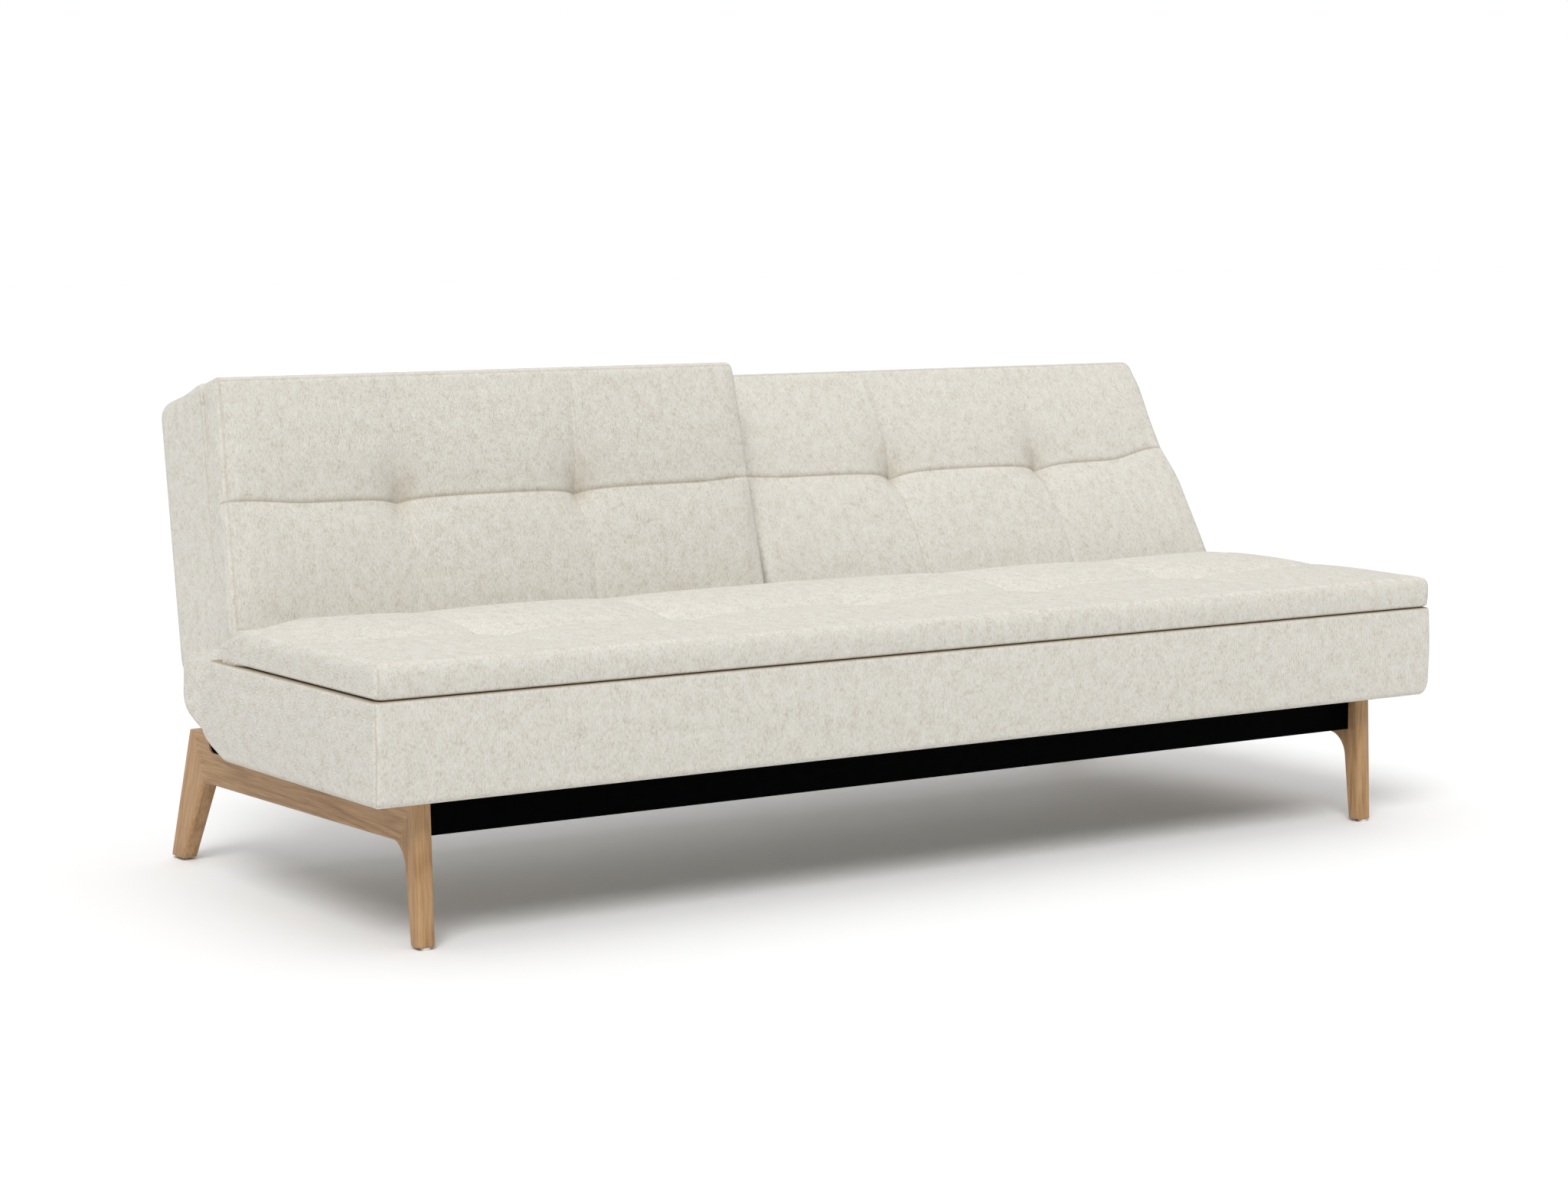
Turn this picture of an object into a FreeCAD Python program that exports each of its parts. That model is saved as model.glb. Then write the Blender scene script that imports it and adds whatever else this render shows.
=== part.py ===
# Three-position sofa bed with a split back on an oak and steel base.
# Millimetres. +Z up, the front faces -Y, +X is the viewer's right.
import FreeCAD, Part
import math
import os

V = FreeCAD.Vector
doc = FreeCAD.newDocument("sofa_bed")

# Driving sizes
# Depths run rearward from the front face of the seat, heights from the floor.
# Sizes of the back are in its own frame: the hinge axis is the origin, z runs
# along the back towards its top edge and y runs towards its rear face.
SIZES = (
    ("seat_half", 1046, "half the seat length"),
    ("seat_bottom", 226, "underside of the upholstered seat box"),
    ("seat_over_axis", 28, "top of the seat box, above the hinge axis"),
    ("seat_box_depth", 597, "depth of the seat box at its lower rear edge"),
    ("seat_ledge", 31, "step from the lower rear edge forward to the shoulder"),
    ("seat_undercut", 77, "depth of the slope under the rear edge"),
    ("crease_gap", 5, "gap between a box and its top cushion"),
    ("topper_thickness", 50, "thickness of the seat cushion at its edges"),
    ("topper_inset", 3, "end of the seat cushion, inside the end of the seat box"),
    ("topper_lap", 9, "rear of the seat cushion, behind the front plane of an upright pad"),
    ("topper_rake", 5, "slope of the rear face of the seat cushion"),
    ("topper_seam", 290, "depth of the long seam in the seat cushion"),
    ("tuft_pitch", 350, "distance between tufts along the sofa"),
    ("axis_gap", 5, "hinge axis, behind the lower rear edge of the seat box"),
    ("flat_gap", 0.5, "gap between a flat back and the posts under it"),
    ("tilt_left_deg", 15.4, "lean of the left back at rest, from upright, in degrees"),
    ("tilt_right_deg", 29.9, "lean of the right back at rest, from upright, in degrees"),
    ("tilt_flat_deg", 90, "lean of a back that lies flat, in degrees"),
    ("back_length", 463, "hinge axis to the top edge of the back"),
    ("back_split", 5, "half the gap between the two backs"),
    ("back_end_inset", 18, "outer end of a back at the hinge, inside the end of the seat box"),
    ("back_draw", 24, "how far the outer end of a back is drawn in at its top edge"),
    ("back_box_front", 30, "front face of the back box, ahead of the axis"),
    ("back_box_rear", 125.5, "rear face of the back box, behind the axis"),
    ("back_box_foot", 5, "lower end of the back box, above the axis"),
    ("back_rear_round", 30, "rounding of the rear top edge of the back box"),
    ("pad_front", 80, "front face of the back pad, ahead of the axis"),
    ("pad_foot", 25, "lower end of the back pad, above the axis"),
    ("pad_seam", 252, "long seam of the back pad, above the axis"),
    ("pad_inset", 12, "outer end of the pad, inside the end of the box"),
    ("seat_padding", 24, "padding between the top of the seat box and its hollow"),
    ("frame_inset", 91, "end frame, inside the end of the seat box"),
    ("oak_thickness", 30, "thickness of the end frames"),
    ("oak_round", 8, "rounding of the end frames"),
    ("foot_round", 2.5, "rounding of the lower end of a leg"),
    ("leg_front_foot", 45, "front face of the front leg at the floor"),
    ("front_leg_rake", 9, "how far the front leg leans back to the seat"),
    ("leg_front_depth", 30, "depth of the front leg at its foot"),
    ("front_leg_spread", 18, "run of the front leg's rear face from foot to rail"),
    ("rear_leg_rake", 84, "how far the rear leg's foot stands behind its top"),
    ("leg_rear_depth", 46, "depth of the rear leg at its foot"),
    ("rear_leg_spread", 90, "run of the rear leg's front face from foot to rail"),
    ("mitre_setback", 21, "upper end of the rear mitre, ahead of the rear face"),
    ("rail_depth_front", 72, "depth of the side rail at the front leg, under the seat"),
    ("rail_depth_rear", 83, "depth of the side rail at the rear leg, under the seat"),
    ("arch_front_radius", 42, "round between front leg and rail"),
    ("arch_rear_radius", 14, "round between rear leg and rail"),
    ("post_rise", 2, "top of the post, above the underside of the seat box"),
    ("post_setback", 166, "front face of the post, behind the hinge axis"),
    ("post_depth", 79, "depth of the post at its top"),
    ("notch_width", 46, "width of the notch ahead of the post"),
    ("glide_radius", 7.4, "radius of a glide"),
    ("glide_height", 4, "height of a glide"),
    ("glide_gap", 0.4, "gap between the two glides of a leg"),
    ("rail_setback", 32, "front face of the steel rail, behind the front leg's foot"),
    ("rail_front_width", 40, "width of the steel front rail"),
    ("rail_front_height", 62, "height of the steel front rail"),
    ("screw_edge", 20, "lower screw of an end frame, above the steel rail's underside"),
    ("screw_front", 11, "lower screw of an end frame, behind the steel rail's front"),
    ("screw_rise", 24, "height between the two screws of an end frame"),
    ("screw_step", 18, "depth between the two screws of an end frame"),
    ("sheet_steel", 3, "thickness of folded and angle steel"),
    ("tube_radius", 12.5, "outside radius of the rear cross tube"),
    ("tube_wall", 1.5, "wall of the rear cross tube"),
    ("tube_proud", 1, "top of the cross tube, above the underside of the seat box"),
    ("tube_end_gap", 2, "end of the cross tube, inside the outer face of an end frame"),
    ("saddle_steel", 2, "thickness of the saddles in the notches"),
    ("saddle_margin", 3, "saddle, inside each face of an end frame"),
    ("corner_play", 0.5, "how much tighter a saddle's corner is than the tube"),
    ("weld_gap", 0.05, "gap between the cross tube and a coped bar"),
    ("bar_height", 22, "height of the support bars under the seat"),
    ("bar_width", 6, "thickness of the support bars"),
    ("bar_inset", 20, "support bars, inside the inner face of an end frame"),
    ("bar_start", 440, "front end of the support bars"),
    ("bar_nose", 30, "length of the slope at the front end of a support bar"),
    ("angle_width", 30, "leg of the steel angle in the frames"),
    ("frame_lift", 14, "frame above the underside of the box"),
    ("frame_front", 36, "front of the seat frame"),
    ("frame_rear_gap", 14, "rear of the seat frame, ahead of the shoulder"),
    ("back_frame_foot", 50, "lower end of a back frame"),
    ("back_frame_margin", 33, "upper end of a back frame, below the top edge"),
    ("slat_thickness", 8, "thickness of a slat"),
    ("slat_width", 58, "width of a slat"),
    ("slat_margin", 45, "first and last slats of the seat, from the hinges"),
    ("back_slat_margin", 62, "first and last slats of a back, from the hinges"),
    ("seat_slat_count", 14, "slats in the seat"),
    ("back_slat_count", 7, "slats in each back"),
    ("core_gap", 6, "gap round a foam core"),
    ("hinge_inset", 54, "outer hinges, inside the end of the seat box"),
    ("hinge_inner", 40, "inner hinges, from the middle"),
    ("hinge_plate", 5, "thickness of a hinge arm"),
    ("hinge_gap", 0.4, "gap between the two arms of a hinge"),
    ("ratchet_radius", 32, "radius of the ratchet disc"),
    ("ratchet_depth", 4.5, "depth of a ratchet notch"),
    ("ratchet_angle", 200, "direction of the detent from the axis"),
    ("arm_reach", 122, "hinge arm's straight part, above the lower end of the back frame"),
    ("boss_radius", 22, "radius of the fixed arm round the axis"),
    ("bracket_length", 82, "part of the fixed arm that lies along the seat frame"),
    ("pin_radius", 6, "radius of a hinge pin"),
    ("pin_clearance", 0.05, "radial clearance on a hinge pin"),
    ("pin_head_radius", 10, "radius of a hinge pin's head"),
    ("pin_head_height", 3, "height of a hinge pin's head"),
    ("detent_length", 40, "length of a detent spring beyond its nose"),
    ("detent_foot", 12, "length of the foot of a detent spring"),
    ("detent_thickness", 2, "thickness of a detent spring"),
    ("detent_clearance", 0.3, "gap between detent and notch"),
    ("bolt_radius", 4, "radius of a bolt"),
    ("bolt_clearance", 0.1, "radial clearance of a bolt"),
    ("bolt_grip", 16, "length of a frame bolt in the oak"),
    ("bolt_head_radius", 7, "radius of a bolt's head at its corners"),
    ("bolt_head_height", 4, "height of a bolt's head"),
    ("arm_bolt_top", 22, "upper bolt of a hinge arm, below the arm's upper end"),
    ("arm_bolt_step", 54, "distance between the bolts of a hinge arm"),
    ("bracket_bolt_rear", 32, "rear bolt of a fixed arm, ahead of the rear of the seat frame"),
    ("bracket_bolt_step", 36, "distance between the bolts of a fixed arm"),
    ("slot_play", 5, "room round the ratchet disc in the boxes"),
    ("slot_side", 13, "room beside a hinge in the boxes"),
)

sheet = doc.addObject("Spreadsheet::Sheet", "sizes")
for row, (name, value, note) in enumerate(SIZES, start=1):
    sheet.set("A%d" % row, name)
    sheet.set("B%d" % row, str(value))
    sheet.setAlias("B%d" % row, name)
    sheet.set("C%d" % row, note)
doc.recompute()


def size(name):
    return float(sheet.get(name))


FRONT_CROWN = 4

# Sizes that follow from the driving ones, in cells of their own
derived = {}


def derive(name, value, note):
    row = len(SIZES) + len(derived) + 1
    sheet.set("A%d" % row, name)
    sheet.set("B%d" % row, repr(value))
    sheet.setAlias("B%d" % row, name)
    sheet.set("C%d" % row, note)
    derived[name] = value
    doc.recompute()


derive("topper_half", size("seat_half") - size("topper_inset"), "half the length of the seat cushion")
derive("back_half_foot", size("seat_half") - size("back_end_inset"), "outer end of a back at the hinge")
derive("back_half_top", size("back_half_foot") - size("back_draw"), "outer end of a back at its top edge")
derive("oak_outer", size("seat_half") - size("frame_inset"), "outer face of an end frame, from the middle")
derive("bar_side", size("oak_outer") - size("oak_thickness") - size("bar_inset"),
       "support bars, from the middle")
derive("hinge_outer", size("seat_half") - size("hinge_inset"), "outer hinges, from the middle")
derive("post_top", size("seat_bottom") + size("post_rise"), "top of the post behind the seat")
derive("pivot_height", size("post_top") + size("flat_gap") + size("back_box_rear"),
       "hinge axis, above the floor: a flat back lies on the posts")
derive("pivot_depth", size("seat_box_depth") + size("axis_gap"), "hinge axis, behind the front face")
derive("seat_shoulder_depth", size("seat_box_depth") - size("seat_ledge"), "depth of the box above the hinge")
derive("topper_rear_top", size("pivot_depth") - size("pad_front") + size("topper_lap"),
       "depth of the seat cushion at its top")
derive("topper_rear_bottom", size("topper_rear_top") - size("topper_rake"),
       "depth of the seat cushion at its bottom")
derive("leg_front_top", size("leg_front_foot") + size("front_leg_rake"), "front leg's front face at the seat")
derive("post_front", size("pivot_depth") + size("post_setback"), "front face of the post")
derive("leg_rear_top", size("post_front") + size("post_depth"), "rear face of the rear leg at its top")
derive("leg_rear_foot", size("leg_rear_top") + size("rear_leg_rake"), "rear face of the rear leg at the floor")
derive("rail_front_face", size("leg_front_foot") + size("rail_setback"), "front face of the steel rail")
derive("rail_front_bottom", size("seat_bottom") - size("rail_front_height"), "underside of the steel rail")
derive("notch_floor", size("seat_bottom") + size("tube_proud") - size("saddle_steel") - 2 * size("tube_radius"),
       "bottom of the notch")
derive("notch_round", size("tube_radius") - size("corner_play") + size("saddle_steel"),
       "rounding in the bottom of the notch")
derive("glide_pitch", 2 * size("glide_radius") + size("glide_gap"), "distance between the glides of a leg")
derive("frame_rear", size("seat_shoulder_depth") - size("frame_rear_gap"), "rear of the seat frame")
derive("back_frame_top", size("back_length") - size("back_frame_margin"), "upper end of a back frame")
derive("slot_radius", size("ratchet_radius") + size("slot_play"), "room for the ratchet disc in the boxes")

# Where the middle of the whole sofa lies behind the front face
lean = math.radians(size("tilt_right_deg"))
rear_round = size("back_rear_round")
back_reach = (size("pivot_depth") + (size("back_length") - rear_round) * math.sin(lean)
              + (size("back_box_rear") - rear_round) * math.cos(lean) + rear_round)
rear_reach = max(back_reach, size("leg_rear_foot"))
derive("origin_depth", (rear_reach - FRONT_CROWN) / 2, "middle of the sofa, behind the front face")

SEAT_TOP = size("pivot_height") + size("seat_over_axis")
TOPPER_BOTTOM = SEAT_TOP + size("crease_gap")
TOPPER_TOP = TOPPER_BOTTOM + size("topper_thickness")
SIDES = (("left", -1), ("right", 1))
nodes = []


# Helpers

def keep(obj, label):
    obj.Label = label
    nodes.append(obj)
    return obj


def unplaced(obj):
    return obj


def place_on_base(obj):
    obj.setExpression(".Placement.Base.y", "-sizes.origin_depth")
    return obj


def place_on_back(obj, side_name):
    obj.Placement = FreeCAD.Placement(V(0, 0, 0), FreeCAD.Rotation(V(1, 0, 0), -10))
    obj.setExpression(".Placement.Rotation.Angle", "-sizes.tilt_%s_deg" % side_name)
    obj.setExpression(".Placement.Base.y", "sizes.pivot_depth - sizes.origin_depth")
    obj.setExpression(".Placement.Base.z", "sizes.pivot_height")
    return obj


def round_corner(before, corner, after, radius):
    """Start, middle and end of the arc that rounds a corner."""
    to_before = (before - corner).normalize()
    to_after = (after - corner).normalize()
    half = to_before.getAngle(to_after) / 2
    reach = radius / math.tan(half)
    start = corner + to_before * reach
    end = corner + to_after * reach
    bisector = (to_before + to_after).normalize()
    middle = corner + bisector * (radius / math.sin(half) - radius)
    return start, middle, end


def rounded_outline(points):
    """Lines and arcs through points of (x, y, radius), closed."""
    flat = [V(x, y, 0) for x, y, radius in points]
    count = len(points)
    corners = []
    for i in range(count):
        radius = points[i][2]
        if radius > 0:
            corners.append(round_corner(flat[i - 1], flat[i], flat[(i + 1) % count], radius))
        else:
            corners.append((flat[i], None, flat[i]))
    edges = []
    for i in range(count):
        start, middle, end = corners[i]
        if middle is not None:
            edges.append(Part.Arc(start, middle, end))
        following = corners[(i + 1) % count][0]
        if (following - end).Length > 1e-6:
            edges.append(Part.LineSegment(end, following))
    return edges


def plate_body(name, points, x_start, thickness, placer, holes=()):
    """A plate across X: outline and holes in the YZ plane, padded along X."""
    body = doc.addObject("PartDesign::Body", name + "_body")
    origin_plane = [f for f in body.Origin.OriginFeatures if f.Role == "YZ_Plane"][0]
    sketch = body.newObject("Sketcher::SketchObject", name + "_outline")
    sketch.AttachmentSupport = [(origin_plane, "")]
    sketch.MapMode = "FlatFace"
    sketch.setExpression(".AttachmentOffset.Base.z", x_start)
    sketch.addGeometry(rounded_outline(points))
    for centre_y, centre_z, radius in holes:
        sketch.addGeometry(Part.Circle(V(centre_y, centre_z, 0), V(0, 0, 1), radius))
    pad = body.newObject("PartDesign::Pad", name + "_pad")
    pad.Profile = sketch
    pad.setExpression("Length", thickness)
    placer(body)
    return body


def box(name, lengths, corner):
    """Box from three expressions for its size and three for its low corner."""
    obj = doc.addObject("Part::Box", name)
    for prop, text in zip(("Length", "Width", "Height"), lengths):
        obj.setExpression(prop, text)
    for axis, text in zip("xyz", corner):
        obj.setExpression(".Placement.Base." + axis, text)
    return obj


def cylinder_x(name, radius, length, start_x, centre_y, centre_z):
    """Cylinder along X. All sizes are expressions."""
    obj = doc.addObject("Part::Cylinder", name)
    obj.Placement = FreeCAD.Placement(V(0, 0, 0), FreeCAD.Rotation(V(0, 1, 0), 90))
    obj.setExpression("Radius", radius)
    obj.setExpression("Height", length)
    obj.setExpression(".Placement.Base.x", start_x)
    obj.setExpression(".Placement.Base.y", centre_y)
    obj.setExpression(".Placement.Base.z", centre_z)
    return obj


def hexagon_x(name, radius, length, start_x, centre_y, centre_z):
    """Hexagonal head along X, radius at its corners. All sizes are expressions."""
    obj = doc.addObject("Part::Prism", name)
    obj.Polygon = 6
    obj.Placement = FreeCAD.Placement(V(0, 0, 0), FreeCAD.Rotation(V(0, 1, 0), 90))
    obj.setExpression("Circumradius", radius)
    obj.setExpression("Height", length)
    obj.setExpression(".Placement.Base.x", start_x)
    obj.setExpression(".Placement.Base.y", centre_y)
    obj.setExpression(".Placement.Base.z", centre_z)
    return obj


def cylinder_z(name, radius, length, x, y, z):
    obj = doc.addObject("Part::Cylinder", name)
    obj.setExpression("Radius", radius)
    obj.setExpression("Height", length)
    for axis, text in zip("xyz", (x, y, z)):
        obj.setExpression(".Placement.Base." + axis, text)
    return obj


def cut(name, base, tools):
    tool = tools[0]
    if len(tools) > 1:
        tool = doc.addObject("Part::MultiFuse", name + "_tools")
        tool.Shapes = tools
    obj = doc.addObject("Part::Cut", name)
    obj.Base = base
    obj.Tool = tool
    return obj


def fuse(name, shapes):
    obj = doc.addObject("Part::MultiFuse", name)
    obj.Shapes = shapes
    return obj


def common(name, base, tool):
    obj = doc.addObject("Part::Common", name)
    obj.Base = base
    obj.Tool = tool
    return obj


def group(name, members, placer):
    obj = doc.addObject("Part::Compound", name)
    obj.Links = members
    placer(obj)
    return obj


def feature(label, shape, placer):
    obj = doc.addObject("Part::Feature", label)
    obj.Shape = shape
    placer(obj)
    return keep(obj, label)


# Oak end frames
# One outline with soft edges, cut at mitres into front leg, side rail and rear leg.

def rail_under(depth):
    """Underside of the side rail at a depth."""
    front = size("leg_front_foot") + size("leg_front_depth")
    rear = size("leg_rear_foot") - size("leg_rear_depth")
    share = (depth - front) / (rear - front)
    depth_here = size("rail_depth_front") + share * (size("rail_depth_rear") - size("rail_depth_front"))
    return size("seat_bottom") - depth_here


foot = size("glide_height")
front_leg_back = size("leg_front_foot") + size("leg_front_depth")
rear_leg_front = size("leg_rear_foot") - size("leg_rear_depth")
front_arch_depth = front_leg_back + size("front_leg_spread")
rear_arch_depth = rear_leg_front - size("rear_leg_spread")
front_arch = (front_arch_depth, rail_under(front_arch_depth))
rear_arch = (rear_arch_depth, rail_under(rear_arch_depth))
notch_start = size("post_front") - size("notch_width")
end_frame_outline = (
    (size("leg_front_foot"), foot, 0),
    (size("leg_front_top"), size("seat_bottom"), 0),
    (notch_start, size("seat_bottom"), 0),
    (notch_start, size("notch_floor"), size("notch_round")),
    (size("post_front"), size("notch_floor"), size("notch_round")),
    (size("post_front"), size("post_top"), 0),
    (size("leg_rear_top"), size("post_top"), 0),
    (size("leg_rear_foot"), foot, 0),
    (rear_leg_front, foot, 0),
    (rear_arch[0], rear_arch[1], size("arch_rear_radius")),
    (front_arch[0], front_arch[1], size("arch_front_radius")),
    (front_leg_back, foot, 0),
)

SCREWS = (
    ("low", "sizes.rail_front_face + sizes.screw_front", "sizes.rail_front_bottom + sizes.screw_edge"),
    ("high", "sizes.rail_front_face + sizes.screw_front + sizes.screw_step",
     "sizes.rail_front_bottom + sizes.screw_edge + sizes.screw_rise"),
)
SCREW_COVER = 10
NOTCH_EDGE = 4


def end_frame(side_name, sign):
    name = "end_frame_" + side_name
    inner = "sizes.oak_outer - sizes.oak_thickness"
    start = inner if sign > 0 else "-sizes.oak_outer"
    body = plate_body(name, end_frame_outline, start, "sizes.oak_thickness", place_on_base)
    doc.recompute()
    pad = body.Tip
    soft = []
    for i, edge in enumerate(pad.Shape.Edges, start=1):
        ends = [vertex.Point for vertex in edge.Vertexes]
        if abs(ends[0].x - ends[1].x) > 1e-6:
            continue
        if any(all(abs(point.z - level) < 1e-6 for point in ends)
               for level in (foot, size("seat_bottom"), size("post_top"))):
            continue
        if all(point.z > size("notch_floor") - NOTCH_EDGE and point.y > notch_start - NOTCH_EDGE
               and point.y < size("post_front") + NOTCH_EDGE for point in ends):
            continue
        soft.append("Edge%d" % i)
    fillet = body.newObject("PartDesign::Fillet", name + "_round")
    fillet.Base = (pad, soft)
    fillet.setExpression("Radius", "sizes.oak_round")
    body.Tip = fillet
    doc.recompute()
    low = ["Edge%d" % i for i, edge in enumerate(fillet.Shape.Edges, start=1)
           if all(abs(vertex.Point.z - foot) < 1e-6 for vertex in edge.Vertexes)]
    feet = body.newObject("PartDesign::Fillet", name + "_feet")
    feet.Base = (fillet, low)
    feet.setExpression("Radius", "sizes.foot_round")
    body.Tip = feet
    return body


def mitre_prism(name, points):
    """Wide block over the whole thickness of an end frame, in the YZ plane."""
    span = 2.4 * size("oak_outer")
    wire = Part.makePolygon([V(-span / 2, y, z) for y, z in points + (points[0],)])
    obj = doc.addObject("Part::Feature", name)
    obj.Shape = Part.Face(wire).extrude(V(span, 0, 0))
    return place_on_base(obj)


FAR = 200
MITRE_PAST = 0.3
top = size("post_top") + FAR
front_mitre = ((size("leg_front_top"), size("seat_bottom")), (front_arch[0] + 14, front_arch[1] - 2))
front_slope = V(0, front_mitre[1][0] - front_mitre[0][0], front_mitre[1][1] - front_mitre[0][1])
front_low = (front_mitre[1][0] + front_slope.y * MITRE_PAST, front_mitre[1][1] + front_slope.z * MITRE_PAST)
front_high = (front_mitre[0][0] - front_slope.y * MITRE_PAST, front_mitre[0][1] - front_slope.z * MITRE_PAST)
rear_mitre = ((size("leg_rear_top") - size("mitre_setback"), size("post_top")), (rear_arch[0] - 3, rear_arch[1] - 3))
rear_slope = V(0, rear_mitre[1][0] - rear_mitre[0][0], rear_mitre[1][1] - rear_mitre[0][1])
rear_low = (rear_mitre[1][0] + rear_slope.y * MITRE_PAST, rear_mitre[1][1] + rear_slope.z * MITRE_PAST)
rear_high = (rear_mitre[0][0] - rear_slope.y * MITRE_PAST, rear_mitre[0][1] - rear_slope.z * MITRE_PAST)
front_block = ((-FAR, -FAR), (front_low[0], -FAR), front_low, front_high, (-FAR, front_high[1]))
behind = size("leg_rear_foot") + FAR
rear_block = ((rear_low[0], -FAR), (behind, -FAR), (behind, top), (rear_high[0], top), rear_high, rear_low)
rail_block = (front_low, (front_low[0], -FAR), (rear_low[0], -FAR), rear_low, rear_high,
              (rear_high[0], top), (front_high[0], top), front_high)

for side_name, sign in SIDES:
    frame = end_frame(side_name, sign)
    for part_name, block in (("front_leg", front_block), ("side_rail", rail_block),
                             ("rear_leg", rear_block)):
        label = "%s_%s" % (part_name, side_name)
        prism = mitre_prism(label + "_block", block)
        piece = common(label + "_wood", frame, prism)
        tools = []
        x_in = ("sizes.oak_outer - sizes.oak_thickness - 1" if sign > 0
                else "-sizes.oak_outer + %g" % SCREW_COVER)
        drill = "sizes.oak_thickness - %g + 1" % SCREW_COVER
        if part_name != "rear_leg":
            for screw_name, depth, height in SCREWS:
                tools.append(cylinder_x("%s_hole_%s" % (label, screw_name),
                                        "sizes.bolt_radius + sizes.bolt_clearance", drill, x_in,
                                        depth + " - sizes.origin_depth", height))
        if tools:
            piece = cut(label + "_drilled", piece, tools)
        keep(piece, label)

# Glides, two under each leg
glides = []
for side_name, sign in SIDES:
    for leg_name, middle in (("front", size("leg_front_foot") + size("leg_front_depth") / 2),
                             ("rear", size("leg_rear_foot") - size("leg_rear_depth") / 2)):
        for step in (-0.5, 0.5):
            glides.append(cylinder_z(
                "glide_%s_%s_%d" % (side_name, leg_name, len(glides)),
                "sizes.glide_radius", "sizes.glide_height",
                "%d * (sizes.oak_outer - sizes.oak_thickness / 2)" % sign,
                "%g + %g * sizes.glide_pitch" % (middle, step), "0"))
keep(group("glides", glides, place_on_base), "glides")

# Steel front rail: a folded channel, open to the rear, with an end plate each side
span = "2 * (sizes.oak_outer - sizes.oak_thickness)"
low_x = "-(sizes.oak_outer - sizes.oak_thickness)"
channel_outer = box("front_rail_outer", (span, "sizes.rail_front_width", "sizes.seat_bottom - sizes.rail_front_bottom"),
                    (low_x, "sizes.rail_front_face", "sizes.rail_front_bottom"))
channel_inner = box("front_rail_inner",
                    (span + " - 2 * sizes.sheet_steel", "sizes.rail_front_width",
                     "sizes.seat_bottom - sizes.rail_front_bottom - 2 * sizes.sheet_steel"),
                    (low_x + " + sizes.sheet_steel", "sizes.rail_front_face + sizes.sheet_steel",
                     "sizes.rail_front_bottom + sizes.sheet_steel"))
rail_holes = []
frame_bolts = []
for side_name, sign in SIDES:
    for screw_name, depth, height in SCREWS:
        face = "sizes.oak_outer - sizes.oak_thickness"
        tag = "%s_%s" % (side_name, screw_name)
        start = ("%s - 2 * sizes.sheet_steel" if sign > 0 else "-(%s) - 2 * sizes.sheet_steel") % face
        rail_holes.append(cylinder_x("rail_hole_" + tag, "sizes.bolt_radius + sizes.bolt_clearance",
                                     "4 * sizes.sheet_steel", start, depth, height))
        shank_start = face + " - sizes.sheet_steel" if sign > 0 else "-(%s) - sizes.bolt_grip" % face
        shank = cylinder_x("bolt_shank_" + tag, "sizes.bolt_radius", "sizes.bolt_grip + sizes.sheet_steel",
                           shank_start, depth, height)
        head_start = (face + " - sizes.sheet_steel - sizes.bolt_head_height" if sign > 0
                      else "-(%s) + sizes.sheet_steel" % face)
        head = hexagon_x("bolt_head_" + tag, "sizes.bolt_head_radius", "sizes.bolt_head_height",
                         head_start, depth, height)
        frame_bolts.append(fuse("frame_bolt_" + tag, [shank, head]))
rail = cut("front_rail_folded", channel_outer, [channel_inner] + rail_holes)
keep(group("front_cross_rail", [rail], place_on_base), "front_cross_rail")
keep(group("frame_bolts", frame_bolts, place_on_base), "frame_bolts")

# Rear cross tube in the notches of the side rails, on steel saddles
tube_y = "sizes.post_front - sizes.saddle_steel - sizes.tube_radius"
tube_z = "sizes.notch_floor + sizes.saddle_steel + sizes.tube_radius"
tube = cut("tube_hollow",
           cylinder_x("tube_solid", "sizes.tube_radius", "2 * (sizes.oak_outer - sizes.tube_end_gap)",
                      "sizes.tube_end_gap - sizes.oak_outer", tube_y, tube_z),
           [cylinder_x("tube_bore", "sizes.tube_radius - sizes.tube_wall", "2 * sizes.oak_outer",
                       "-sizes.oak_outer", tube_y, tube_z)])
keep(group("rear_cross_tube", [tube], place_on_base), "rear_cross_tube")

saddle_start = notch_start + size("notch_round") + 1
saddle_round = size("notch_round")
saddle_outline = (
    (saddle_start, size("notch_floor"), 0),
    (size("post_front"), size("notch_floor"), saddle_round),
    (size("post_front"), size("post_top") - 2, 0),
    (size("post_front") - size("saddle_steel"), size("post_top") - 2, 0),
    (size("post_front") - size("saddle_steel"), size("notch_floor") + size("saddle_steel"),
     saddle_round - size("saddle_steel")),
    (saddle_start, size("notch_floor") + size("saddle_steel"), 0),
)
for side_name, sign in SIDES:
    inner = "sizes.oak_outer - sizes.oak_thickness + sizes.saddle_margin"
    start = inner if sign > 0 else "-sizes.oak_outer + sizes.saddle_margin"
    saddle = plate_body("rear_saddle_" + side_name, saddle_outline, start,
                        "sizes.oak_thickness - 2 * sizes.saddle_margin", place_on_base)
    keep(saddle, "rear_saddle_" + side_name)

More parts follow.
